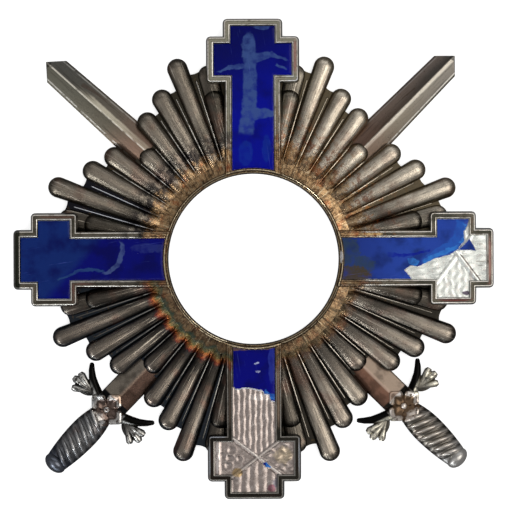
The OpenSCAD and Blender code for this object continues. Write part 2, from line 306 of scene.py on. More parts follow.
def cut_off(point, normal, fill=True):
    """Cuts the mesh by a plane and removes what lies on the side that the normal points to."""
    pick("FACE")
    bpy.ops.mesh.bisect(
        plane_co=point, plane_no=normal, clear_outer=True, use_fill=fill, threshold=TOUCH
    )


def clean_up():
    """Merges doubled corners and turns all faces outwards."""
    pick("VERT")
    bpy.ops.mesh.remove_doubles(threshold=TOUCH)
    bpy.ops.mesh.normals_make_consistent(inside=False)


def open_edge(edge):
    return len(edge.link_faces) == 1


def loft(name, outlines):
    """A solid through closed outlines of as many points each, from the first to the last."""
    obj = start("circle", name, vertices=len(outlines[0]), radius=1, fill_type="NGON")
    for corner, point in zip(obj.data.vertices, outlines[0]):
        corner.co = point
    with editing(obj):
        pick("FACE")
        for old, new in zip(outlines, outlines[1:]):
            extrude()
            settle(lambda co: new[min(range(len(old)), key=lambda i: (co - old[i]).length_squared)])
        clean_up()
    return obj


def lathe(name, profile, steps):
    """A ring turned about Z from a closed profile of (radius, height) points."""
    obj = start("circle", name, vertices=len(profile), radius=1)
    for corner, (radius, height) in zip(obj.data.vertices, profile):
        corner.co = (radius, 0, height)
    with editing(obj):
        pick("VERT")
        bpy.ops.mesh.spin(steps=steps, angle=math.tau, center=(0, 0, 0), axis=(0, 0, 1))
        clean_up()
    return obj


def rod(name, rows, sides):
    """A round rod along rows of x, y, z and radius, with rounded ends."""
    points = [Vector(row[:3]) for row in rows]
    radii = [row[3] for row in rows]
    first, last = (points[0] - points[1]).normalized(), (points[-1] - points[-2]).normalized()
    points = [points[0] + first * radii[0] * 0.7, *points, points[-1] + last * radii[-1] * 0.7]
    radii = [radii[0] * 0.6, *radii, radii[-1] * 0.6]
    rings = []
    for i, (point, radius) in enumerate(zip(points, radii)):
        along = (points[min(i + 1, len(points) - 1)] - points[max(i - 1, 0)]).normalized()
        across = along.cross(Vector((0, 0, 1))).normalized()
        up = across.cross(along)
        angles = [math.tau * j / sides for j in range(sides)]
        rings.append([point + radius * (math.cos(a) * across + math.sin(a) * up) for a in angles])
    return loft(name, rings)


def ball(name, centre, half_sizes, turn=0.0, segments=24):
    """An egg-shaped solid with its longest side along X, turned about Z by degrees."""
    obj = start(
        "uv_sphere", name, segments=segments, ring_count=segments // 2, radius=1,
        rotation=(0, math.pi / 2, 0), scale=(half_sizes[2], half_sizes[1], half_sizes[0]),
    )
    obj.data.transform(Matrix.Translation(centre) @ Matrix.Rotation(math.radians(turn), 4, "Z"))
    return obj


def placed(obj, degrees=0.0, aside=0.0, mirror=False):
    """The same solid, mirrored across the XZ plane or not, moved aside and then turned about Z."""
    select_only(obj)
    turn = math.radians(degrees)
    obj.location = (-aside * math.sin(turn), aside * math.cos(turn), 0)
    obj.rotation_euler.z = turn
    if mirror:
        obj.scale.y = -1
    bpy.ops.object.transform_apply(location=True, rotation=True, scale=True)
    if mirror:
        with editing(obj):
            clean_up()
    return obj


def copy_of(obj, *place, mirror=False):
    """A copy with its own mesh, at its place."""
    select_only(obj)
    bpy.ops.object.duplicate()
    return placed(bpy.context.object, *place, mirror=mirror)


def discard(objects):
    for obj in objects:
        bpy.data.objects.remove(obj)


def combine(obj, others, how="UNION"):
    """Joins others to obj, or cuts it by them, and uses them up."""
    tools = bpy.data.collections.new("tools")
    bpy.context.scene.collection.children.link(tools)
    for other in others:
        for home in other.users_collection:
            home.objects.unlink(other)
        tools.objects.link(other)
    modifier = obj.modifiers.new(how.title(), "BOOLEAN")
    modifier.operation = how
    modifier.solver = "MANIFOLD"
    modifier.material_mode = "TRANSFER"
    modifier.operand_type = "COLLECTION"
    modifier.collection = tools
    select_only(obj)
    bpy.ops.object.modifier_apply(modifier=modifier.name)
    discard(others)
    bpy.data.collections.remove(tools)
    return obj


def finish_piece(obj, name, node, slot, *materials, smooth=35):
    """Names a piece, brings it to real size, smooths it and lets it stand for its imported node."""
    obj.name = name
    select_only(obj)
    if materials:
        obj.data.materials.clear()
        for material in materials:
            obj.data.materials.append(material)
    obj.scale = (MM, MM, MM)
    bpy.ops.object.transform_apply(location=False, rotation=False, scale=True)
    bpy.ops.object.shade_smooth_by_angle(angle=math.radians(smooth))
    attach(obj, "root")
    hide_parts(node)


# Outlines


def quarter(u, v, radius, degrees, steps=4):
    """A quarter of a circle as points, clockwise from an angle."""
    angles = [math.radians(degrees - 90 * i / steps) for i in range(steps + 1)]
    return [(u + radius * math.cos(a), v + radius * math.sin(a)) for a in angles]


def arm_outline(s, inset, z, root_r):
    """Outline of an arm along +X, set in by a distance, whose root is an arc about the hub."""
    root_steps = 8
    r = max(s.corner_r - inset, 0.05)
    stem, side, end = s.stem_w / 2 - inset, s.crosslet_w / 2 - inset, s.block_w / 2 - inset
    inner, outer, tip = s.crosslet_in + inset, s.crosslet_out - inset, s.reach - inset
    half = [
        (inner, stem),
        *quarter(inner + r, side - r, r, 180),
        *quarter(outer - r, side - r, r, 90),
        (outer, end),
        *quarter(tip - r, end - r, r, 90),
    ]
    across = [stem * (2 * i / root_steps - 1) for i in range(root_steps + 1)]
    root = [(math.sqrt(root_r**2 - v * v), v) for v in across]
    mirrored = [(u, -v) for u, v in reversed(half)]
    return [Vector((u, v, z)) for u, v in root + half + mirrored]


def ragged(points, step, depth, seed):
    """An open line with small teeth, as glass breaks."""
    chance = random.Random(seed)
    line = [Vector(points[0])]
    for a, b in zip(points, points[1:]):
        a, b = Vector(a), Vector(b)
        count = max(1, round((b - a).length / step))
        side = Vector((-(b - a).y, (b - a).x)).normalized()
        for i in range(1, count + 1):
            tooth = side * chance.uniform(-depth, depth) if i < count else Vector((0, 0))
            line.append(a + (b - a) * i / count + tooth)
    return line


# Star of rays


def make_ray(reach, rise, s):
    """One ray along +X: a round tip, a rounded back that narrows to the hub, an upright foot."""
    root_r, shoulder_x, tip_x = 12.6, 13.6, reach - s.tip_hw
    ray = start(
        "uv_sphere", "ray", segments=40, ring_count=20, radius=s.tip_hw, location=(tip_x, 0, s.web_t),
        rotation=(0, math.pi / 2, 0), scale=(rise / s.tip_hw, 1, 1),
    )
    with editing(ray):
        cut_off((tip_x, 0, 0), (-1, 0, 0), fill=False)
        cut_off((0, 0, s.web_t), (0, 0, -1), fill=False)
        pick("EDGE", lambda edge: abs(middle(edge).x - tip_x) < TOUCH)
        extrude(x=shoulder_x - tip_x)
        narrowing = s.root_hw / s.tip_hw
        resize((1, narrowing, 0.8), (shoulder_x, 0, s.web_t))
        extrude(x=root_r - shoulder_x)
        resize((1, 0.9, 0.45), (root_r, 0, s.web_t))
        bpy.ops.mesh.edge_face_add()
        pick("EDGE", open_edge)
        extrude(z=-s.web_t)
        bpy.ops.mesh.edge_face_add()
        clean_up()
    return ray


def make_web(reach, horns, s, hub_r):
    """The plate between two rays along +X, with a hollow end that rises to a horn at each ray."""
    half_pitch = math.tan(s.pitch / 2)
    past = 0.15
    web = start(
        "plane", "web", size=1, location=((hub_r + reach) / 2, 0, 0), scale=(reach - hub_r, 1, 1)
    )
    with editing(web):
        for x in (hub_r, reach):
            pick("EDGE", lambda edge: abs(middle(edge).x - x) < TOUCH)
            resize((1, 2 * (x * half_pitch + past), 1), (x, 0, 0))
        pick("EDGE", lambda edge: abs(middle(edge).x - reach) < TOUCH)
        bpy.ops.mesh.subdivide(number_cuts=9)
        pick("VERT", lambda corner: corner.co.x > reach - TOUCH)
        half_w = reach * half_pitch
        settle(lambda co: co + Vector((horns[co.y > 0] * (co.y / half_w) ** 2, 0, 0)))
        pick("FACE")
        extrude(z=s.web_t)
        clean_up()
    return web


def make_line(start_x, end_x, s):
    """The thin raised line in the middle of a groove, with sloped ends and a rounded top."""
    top = s.web_t + 0.3
    line = block("line", (start_x, -s.line_w / 2, s.web_t - 0.2), (end_x, s.line_w / 2, top))
    with editing(line):
        pick("FACE", lambda face: face.normal.z > 0.9)
        resize((0.95, 0.55, 1), ((start_x + end_x) / 2, 0, top))
        pick("EDGE", lambda edge: middle(edge).z > top - TOUCH and abs(middle(edge).y) > TOUCH)
        bpy.ops.mesh.bevel(offset=0.03, segments=2)
        pick("VERT", lambda corner: corner.co.x > (start_x + end_x) / 2 and corner.co.z > s.web_t)
        resize((1, 1, 0.45), (end_x, 0, s.web_t))
        clean_up()
    return line


def roof_bar(end_x, start_w, end_w, s, grow=0.0):
    """A bar along +X with a roof-shaped top, from where the blades begin."""
    low = (s.start - grow, -start_w / 2 - grow, -grow)
    bar = block("bar", low, (end_x + grow, start_w / 2 + grow, s.edge + grow))
    with editing(bar):
        pick("FACE")
        bpy.ops.mesh.bisect(plane_co=(0, 0, 0), plane_no=(0, 1, 0), threshold=TOUCH)
        pick("VERT", lambda corner: abs(corner.co.y) < TOUCH and corner.co.z > s.edge / 2)
        shift(z=s.ridge - s.edge)
        pick("VERT", lambda corner: corner.co.x > end_x - TOUCH)
        resize((1, (end_w + 2 * grow) / (start_w + 2 * grow), 1), (end_x, 0, 0))
    return bar


def lengthen(ray, change, degrees):
    """Moves the round tip of a ray that lies at an angle along its own direction."""
    beyond = 16
    turn = math.radians(degrees)
    with editing(ray):
        pick("VERT", lambda corner: corner.co.length > beyond)
        shift(change * math.cos(turn), change * math.sin(turn))


def make_tang(s, grow=0.0):
    """The flat root of a sword half, which lies in the star's back."""
    inner, half_w, thickness = 14, 1.5, 0.5
    low = (inner - grow, -half_w - grow, -grow)
    return block("tang", low, (s.start + 1, half_w + grow, thickness + grow))


def make_rays(s, hub_r):
    """The rays of all four fans, the plate between them and the thin lines in its grooves."""
    rays, plates, lines = [], [], []
    count = len(RAY_REACH) - 1
    ray_masters = [make_ray(reach, s.rise, s) for reach in RAY_REACH[:-1]]
    lobe = make_ray(RAY_REACH[NEXT_TO_ARM], s.rise * 0.55, s)
    ray_masters.append(combine(make_ray(NEXT_TO_ARM_REACH, s.rise, s), [lobe]))
    web_masters = [make_web(end, horns, s, hub_r) for end, *horns in WEB_ENDS]
    line_masters = [make_line(hub_r + 0.15, end - 0.7, s) for end, *_ in WEB_ENDS]
    for fan, middle_angle in FAN_ANGLES.items():
        for k in range(-count, count + 1):
            change, turned = RAY_CHANGES[fan].get(k, (0, 0))
            place = middle_angle + k * math.degrees(s.pitch) + turned
            ray = copy_of(ray_masters[abs(k)], place)
            if change:
                lengthen(ray, change, place)
            rays.append(ray)
        for k in range(-count, count):
            place = middle_angle + (k + 0.5) * math.degrees(s.pitch)
            pair = min(abs(k), abs(k + 1))
            plates.append(copy_of(web_masters[pair], place, mirror=k < 0))
            lines.append(copy_of(line_masters[pair], place))
    discard(ray_masters + web_masters + line_masters)
    return rays, plates, lines


def make_star(s, cross, sword, finishes):
    """The star: rays, plate, collar and the arms' beds, with seats for swords and pin in its back."""
    hub_r = cross.hub_r + 2 * GAP
    inner = hub_r + 0.02
    foot_r = s.collar_r + 0.6
    plate_end, plate_hw = 24.5, 4.2
    rays, plates, lines = make_rays(s, hub_r)
    # Columns: radius, height
    profile = [
        (hub_r, 0),
        (foot_r, 0),
        (foot_r, s.web_t),
        (s.collar_r, s.collar_t - 0.04),
        (hub_r, s.collar_t - 0.03),
    ]
    star = lathe("silver_star", profile, 144)
    star.data.materials.append(finishes["collar"])
    for angle in ARM_ANGLES.values():
        plate = block("plate", (inner, -plate_hw, 0), (plate_end, plate_hw, s.web_t))
        bed = loft("bed", [arm_outline(cross, 0.4, z, inner) for z in (0.05, cross.bed_t)])
        plates += [placed(plate, angle), placed(bed, angle)]
    groups = {"ray": rays, "groove": plates, "line": lines}
    for finish, members in groups.items():
        for member in members:
            member.data.materials.clear()
            member.data.materials.append(finishes[finish])
    combine(star, [member for members in groups.values() for member in members])
    blade = roof_bar(sword.blade_reach, sword.blade_w, sword.tip_w, sword, SEAT_GAP)
    stub = roof_bar(STUB_END, sword.stub_w, sword.stub_w, sword, SEAT_GAP)
    tang = make_tang(sword, SEAT_GAP)
    cutters = []
    for seat, places in ((blade, BLADES), (stub, HILTS)):
        for place in places.values():
            cutters += [copy_of(seat, *place), copy_of(tang, *place)]
    discard([blade, stub, tang])
    (foot_left, foot_low, _), (foot_right, foot_high, foot_t) = PIN_FOOT
    slot_hw, slot_top, room = PIN_RADIUS + 0.35, foot_t + SEAT_GAP, 0.65
    low, high = PIN_RINGS[0] - room, PIN_RINGS[-1] + room
    cutters.append(block("pin_slot", (-slot_hw, low, -1), (slot_hw, high, slot_top)))
    low, high = foot_low - SEAT_GAP, foot_high + SEAT_GAP
    cutters.append(
        block("foot_slot", (foot_left - SEAT_GAP, low, -1), (foot_right + SEAT_GAP, high, slot_top))
    )
    return combine(star, cutters, "DIFFERENCE")


# Cross


def floor_height(u, v, s, look):
    """Height of the chased ground above the bottom of a cell, at a place on an arm along +X."""
    limb = s.stem_w / 2 - s.frame_w
    du = u - look.crossing
    beside = v - look.aside
    bend = look.wobble * (math.sin(1.9 * u + 2.3 * v) + 0.6 * math.sin(4.1 * u + 1.7 * v))
    if abs(du) > abs(beside) * CROSS_SLOPE:
        pitch = look.pitch if du < 0 else look.end_pitch
        place = (v + bend) / pitch
        height = look.depth * (0.5 + 0.5 * math.cos(math.tau * place)) ** 0.6
        height *= 0.74 + 0.26 * math.sin(2.9 * u + 7.0 * round(place))
    elif v < 0 and look.dimples:
        height = look.depth * 0.5
        for hole_u, hole_v, radius in look.dimples:
            off = math.hypot(du - hole_u, v - hole_v) / radius
            rim, hollow = max(0.0, 1 - 4 * (off - 1) ** 2), max(0.0, 1 - off * off)
            height += look.depth * (0.3 * rim - 0.45 * hollow)
        height += look.depth * look.strip * max(0.0, 1 - abs(v + limb + 1.85) / 0.32)
    else:
        wave = du + 0.12 * math.sin(4.2 * v) + 0.1 * math.sin(2.1 * du + 1.3 * v)
        broken = 0.6 + 0.4 * math.sin(math.tau * v / 1.3 + 2.2 * round(du / 0.8))
        height = look.depth * look.waves * (0.5 + 0.5 * math.cos(math.tau * wave / 0.8)) * broken
    # The chased cross: a raised line between two fine grooves
    for way, strength in ((1, look.line), (-1, look.other_line)):
        off = abs(du - way * CROSS_SLOPE * beside) / math.hypot(1, CROSS_SLOPE)
        height = max(height * min(1, off / 0.35), strength * min(1.0, max(0.0, 2 - off / 0.15)))
    return max(height, 0.0)


# How the bare ground of the two broken arms was chased; dimples: along, across, radius
GROUNDS = {
    "bottom": SimpleNamespace(
        crossing=24.85, aside=0.45, pitch=0.7, end_pitch=1.06, wobble=0.045, depth=0.075, line=0.13,
        other_line=0.09, strip=1.0, waves=1.0,
        dimples=[
            (-0.9, -2.9, 0.55), (0.1, -3.1, 0.5), (1.0, -3.3, 0.5), (-0.2, -4.1, 0.5), (0.2, -1.9, 0.4),
        ],
    ),
    "right": SimpleNamespace(
        crossing=25.57, aside=0.49, pitch=0.75, end_pitch=0.9, wobble=0.05, depth=0.048, line=0.05,
        other_line=0.1, strip=0.0, waves=0.4, dimples=[],
    ),
}


def make_ground(s, look, step=0.1):
    """The chased ground of one cell along +X, as a closed slab."""
    low_u, high_u = s.seat_r + 0.5, s.reach - s.frame_w + 0.2
    half_v = s.crosslet_w / 2 - s.frame_w + 0.2
    floor_z = s.height - s.cell_depth
    ground = start(
        "grid", "ground", size=1, x_subdivisions=round((high_u - low_u) / step),
        y_subdivisions=round(2 * half_v / step), location=((low_u + high_u) / 2, 0, floor_z),
        scale=(high_u - low_u, 2 * half_v, 1),
    )
    with editing(ground):
        pick("VERT")
        settle(lambda co: co + Vector((0, 0, floor_height(co.x, co.y, s, look))))
        pick("EDGE", open_edge)
        extrude(z=-0.4)
        resize((1, 1, 0), (0, 0, floor_z - 0.3))
        bpy.ops.mesh.edge_face_add()
        clean_up()
    inset = s.frame_w - 0.02
    root = s.seat_r + 0.63
    cell = loft("cell", [arm_outline(s, inset, z, root) for z in (floor_z - 0.25, s.height)])
    return combine(ground, [cell], "INTERSECT")


def make_arm(s, look=None):
    """One framed arm along +X: slanted wall, outer lip, channel, inner lip, cell and ground."""
    top = s.height
    under = s.bed_t + GAP
    # Columns: how far in, how high
    profile = [
        (0.00, under),
        (0.03, under + 0.3),
        (0.17, top - 0.14),
        (0.20, top - 0.03),
        (0.24, top),
        (0.32, top),
        (0.36, top - 0.04),
        (0.42, top - 0.2),
        (0.66, top - 0.2),
        (0.72, top - 0.05),
        (0.75, top - 0.01),
        (0.82, top - 0.01),
        (0.87, top - 0.05),
        (0.95, top - s.cell_depth - (0.1 if look else 0)),
    ]
    arm = loft("arm", [arm_outline(s, inset, z, s.seat_r - 0.3 + inset) for inset, z in profile])
    half_w = s.stem_w / 2 - 0.02
    foot = block("foot", (s.seat_r + 0.2, -half_w, 0.02), (s.hub_r - 0.05, half_w, under + 0.2))
    combine(arm, [foot, make_ground(s, look)] if look else [foot])
    clear_r = s.seat_r + 0.4
    cutter = lathe("seat", [(1, -1), (clear_r, -1), (clear_r, top + 1), (1, top + 1)], 144)
    return combine(arm, [cutter], "DIFFERENCE")


def make_cross(s):
    """The cross: four arms and the ring round the seat, whose thin flange covers the star's edge."""
    # Columns: how far out from the seat, how high
    profile = [
        (0.0, 0),
        (s.hub_r - s.seat_r, 0),
        (s.hub_r - s.seat_r, 1.19),
        (1.84, 1.19),
        (1.84, 1.22),
        (1.5, 1.26),
        (0.7, 1.31),
        (0.58, 1.36),
        (0.54, 1.5),
        (0.48, 1.56),
        (0.40, 1.52),
        (0.36, 1.36),
        (0.28, 1.36),
        (0.25, 1.48),
        (0.19, 1.52),
        (0.13, 1.46),
        (0.0, 1.2),
    ]
    ring = lathe("silver_cross", [(s.seat_r + out, z) for out, z in profile], 180)
    arms = [placed(make_arm(s, GROUNDS.get(name)), angle) for name, angle in ARM_ANGLES.items()]
    return combine(ring, arms)


# Enamel


# Edge of the enamel that is left on the right arm: columns along the arm, across the arm
RIGHT_EDGE = [
    (19.9, -2.9), (18.75, -1.43), (19.65, -0.9), (20.45, -1.05), (21.45, -0.63), (22.6, -0.05),
    (24.45, 0.4), (25.4, 1.03), (26.3, 2.2), (26.2, 3.2), (26.7, 4.2), (27.1, 5.2),
]
RIGHT_FLAKE = [(25.6, 0.98), (27.05, 2.45), (27.9, 0.87), (26.7, 0.98)]
# Edge of the enamel that is left on the bottom arm, with the same columns
BOTTOM_EDGE = [
    (15.3, -2.95), (16.2, -2.3), (16.0, -1.1), (16.2, 0.16), (16.35, 1.0), (16.8, 1.25),
    (16.87, 1.9), (17.65, 2.1), (17.75, 2.95),
]
BOTTOM_FLAKE = [(25.5, 1.0), (25.35, 1.45), (26.15, 2.2), (26.1, 1.4)]
ENAMEL_SINK = 0.07


def enamel_heights(s):
    """Underside and top of the enamel."""
    return s.height - s.cell_depth + 0.11, s.height - ENAMEL_SINK


def make_slab(s):
    """The enamel of a whole cell along +X, with a soft edge and a slightly rounded top."""
    low, high = enamel_heights(s)
    root = s.seat_r + 0.65
    # Columns: how far in from the cell's wall, how high
    profile = [(0.03, low), (0.03, high - 0.08), (0.09, high - 0.03), (0.3, high), (1.3, high + 0.02)]
    return loft("slab", [arm_outline(s, s.frame_w + inset, z, root + inset) for inset, z in profile])


def broken_slab(s, edge, seed):
    """What is left of a slab inside a broken edge, whose wall slopes outwards to its foot."""
    low, high = enamel_heights(s)
    teeth = ragged(edge, 0.22, 0.05, seed)
    outlines = []
    for z, spread in ((low - 0.2, 0.3), (high - 0.1, 0.12), (high + 0.3, -0.1)):
        line = [Vector((0, teeth[0].y - 0.5, z)), Vector((teeth[0].x + spread, teeth[0].y - 0.5, z))]
        line += [Vector((p.x + spread, p.y, z)) for p in teeth]
        line += [Vector((teeth[-1].x + spread, teeth[-1].y + 0.5, z)), Vector((0, teeth[-1].y + 0.5, z))]
        outlines.append(line)
    return combine(make_slab(s), [loft("left", outlines)], "INTERSECT")


def make_flake(s, outline, seed):
    """A loose remain of enamel."""
    low, high = enamel_heights(s)
    rim = ragged([*outline, outline[0]], 0.25, 0.05, seed)[:-1]
    centre = sum(rim, Vector((0, 0))) / len(rim)
    rows = ((low, 1.0), (high - 0.12, 0.97), (high - 0.05, 0.85))
    rings = []
    for z, scale in rows:
        rings.append([Vector((*(centre + (p - centre) * scale), z)) for p in rim])
    return loft("flake", rings)


# Swords


def blade_narrowing(s):
    """How much the half width of a blade shrinks with each millimetre."""
    return (s.blade_w - s.tip_w) / 2 / (s.straight - s.start)


def make_blade(s):
    """A blade along +X with a ridge and bevelled edges, cut to a blunt point, on its flat root."""
    facet = 0.3

    def section(x):
        half_w = s.blade_w / 2 - blade_narrowing(s) * (x - s.start)
        half = [(half_w, 0), (half_w, s.edge - 0.1), (half_w - facet, s.edge + 0.06)]
        corners = [*half, (0, s.ridge), *[(-y, z) for y, z in reversed(half)]]
        return [Vector((x, y, z)) for y, z in corners]

    blade = loft("blade", [section(s.start), section(s.blade_reach + 0.5)])
    point = s.blade_reach - s.straight
    with editing(blade):
        for side in (1, -1):
            cut_off((s.straight, side * s.tip_w / 2, 0), (s.tip_w / 2, side * point, 0.2))
        cut_off((s.blade_reach - 0.5, 0, s.ridge), (0.6, 0, 0.5))
        clean_up()
    return combine(blade, [make_tang(s)])


def petal_reach(angle):
    """Reach of the rosette's outline at an angle, and 0 in a notch to 1 out on a petal."""
    corner = math.pi / 4
    off = corner - abs((angle + corner) % (2 * corner) - corner)
    reach = min(1.88 / math.cos(off), 2.46)
    return reach - 0.5 * max(0.0, 1 - off / 0.17), min(1.0, off / 0.26)


def make_rosette():
    """A dished flower of four petals with a curled rim and a boss in the middle."""
    # Columns: part of the full width, height, how much lower it lies where two petals meet
    rows = [
        (0.94, 0.0, 0.0), (1.0, 1.0, 0.0), (1.0, 1.72, 0.35), (0.96, 1.98, 0.5), (0.86, 2.03, 0.55),
        (0.74, 1.86, 0.5), (0.62, 1.62, 0.35), (0.46, 1.46, 0.1), (0.3, 1.4, 0.0),
    ]
    angles = [math.tau * j / 96 for j in range(96)]
    rings = []
    for part, z, dip in rows:
        ring = []
        for a in angles:
            reach, petal = petal_reach(a)
            r = part * reach
            curl = 0.05 * math.sin(8 * a + 1.3) * part**4 if z > 1.5 else 0
            high = z - dip * (1 - petal) + curl
            ring.append(Vector((ROSETTE_U + r * math.cos(a), r * math.sin(a), high)))
        rings.append(ring)
    rosette = loft("rosette", rings)
    return combine(rosette, [ball("boss", (ROSETTE_U, 0, 1.5), (0.44, 0.44, 0.42))])


def grip_half_width(u, s):
    """Half width of the grip: full at its belly, narrower to both ends."""
    belly = 30.6
    end, end_hw = (27.6, 1.5) if u < belly else (35.2, 1.48)
    full = 0.95 * s.grip_hw
    return full - (full - end_hw) * ((u - belly) / (end - belly)) ** 2


def grip_half_height(half_w, s):
    return (s.grip_h - GRIP_Z) * half_w / s.grip_hw


def grip_core(s):
    """The smooth body of the grip, which shows between its strands."""
    rings = []
    for i in range(14):
        u = 27.0 + i * 0.67
        half_w = grip_half_width(u, s) + 0.02
        high = grip_half_height(half_w, s) - 0.42
        angles = [math.tau * j / 28 for j in range(28)]
        rings.append([Vector((u, half_w * math.cos(a), GRIP_Z + high * math.sin(a))) for a in angles])
    return loft("core", rings)


def make_guard_side():
    """One side of the guard: a horn that curves back towards the blade, and a leaf of three lobes."""
    # Columns: x, y, z, radius
    horn = [
        (26.1, 1.6, 0.85, 0.8), (25.75, 2.4, 0.95, 0.7), (25.3, 3.2, 1.05, 0.58),
        (24.75, 4.1, 1.1, 0.48), (24.15, 4.8, 1.15, 0.4), (23.6, 5.3, 1.15, 0.3),
    ]
    side = [rod("horn", horn, 16)]
    # Columns: x and y of the tip, radius at the tip
    for x, y, radius in [(25.5, 5.3, 0.5), (26.35, 5.5, 0.5), (27.3, 4.85, 0.46)]:
        root = Vector((26.1, 2.9, 0.85))
        way = Vector((x, y, 1.05)) - root
        knee = root + way * 0.55
        side.append(rod("lobe", [(*root, 0.35), (*knee, radius * 0.8), (x, y, 1.05, radius)], 16))
    side.append(ball("leaf", (26.2, 3.9, 0.7), (1.5, 1.0, 0.4), 76))
    return side


def make_hilt(s):
    """A sword's lower half along +X: short blade, rosette, guard, wound grip and pommel."""
    hilt = roof_bar(STUB_END, s.stub_w, s.stub_w, s)
    with editing(hilt):
        pick("EDGE", lambda edge: any(f.normal.z > 0.5 for f in edge.link_faces)
             and any(abs(f.normal.y) > 0.9 for f in edge.link_faces))
        bpy.ops.mesh.bevel(offset=0.18, segments=1)
    side = make_guard_side()
    parts = [make_tang(s), make_rosette(), grip_core(s), *side]
    parts += [copy_of(part, mirror=True) for part in side]
    for i in range(STRANDS):
        u = GRIP_START + (i + 0.5) * STRAND_PITCH
        half_w = grip_half_width(u, s)
        across = (half_w - 0.12) / math.cos(math.radians(GRIP_LEAN))
        half_sizes = (0.52, across, grip_half_height(half_w, s))
        parts.append(ball("strand", (u, 0, GRIP_Z), half_sizes, -GRIP_LEAN, 40))
    parts.append(ball("pommel", (35.75, 0, 1.1), (1.0, 1.48, 1.12), 0, 40))
    combine(hilt, parts)
    return combine(hilt, [block("below", (10, -10, -5), (40, 10, 0))], "DIFFERENCE")


def make_pin():
    """The plain pin on the back of the upper arm, with the foot that holds it."""
    pin = rod("pin", [(0, y, 0.5, PIN_RADIUS) for y in PIN_RINGS], 20)
    foot = block("foot", *PIN_FOOT)
    with editing(foot):
        pick("EDGE", lambda edge: abs(edge.verts[0].co.z - edge.verts[1].co.z) > 1)
        bpy.ops.mesh.bevel(offset=0.25, segments=3)
    return combine(pin, [foot])


# Finishes


class Wire:
    """A socket of a finish, which takes part in sums as a number does."""

    def __init__(self, finish, socket):
        self.finish = finish
        self.socket = socket

    def math(self, operation, first, second=0.0):
        return self.finish.node("Math", {0: first, 1: second}, operation=operation)

    def __add__(self, other):
        return self.math("ADD", self, other)

    __radd__ = __add__

    def __sub__(self, other):
        return self.math("SUBTRACT", self, other)

    def __rsub__(self, other):
        return self.math("SUBTRACT", other, self)

    def __mul__(self, other):
        return self.math("MULTIPLY", self, other)

    __rmul__ = __mul__

    def __truediv__(self, other):
        return self.math("DIVIDE", self, other)

    def __pow__(self, other):
        return self.math("POWER", self, other)

    def __abs__(self):
        return self.math("ABSOLUTE", self)

    def most(self, other):
        return self.math("MAXIMUM", self, other)

    def cosine(self):
        return self.math("COSINE", self)

    def rising(self, low, high, first=0.0, last=1.0):
        """Goes smoothly from a first value at low to a last one at high, 0 and 1 unless given."""
        return self.finish.node(
            "MapRange", {0: self, 1: low, 2: high, 3: first, 4: last}, interpolation_type="SMOOTHSTEP"
        )

    def falling(self, low, high):
        """Falls smoothly from 1 at low to 0 at high."""
        return self.rising(low, high, 1.0, 0.0)

    def band(self, start, full, end, gone):
        """Rises to 1 and falls to 0 again."""
        return self.rising(start, full) * self.falling(end, gone)


def solid_colour(colour):
    """A colour's four values, from six hexadecimal digits or from red, green and blue."""
    return (*(linear(colour) if isinstance(colour, str) else colour), 1)


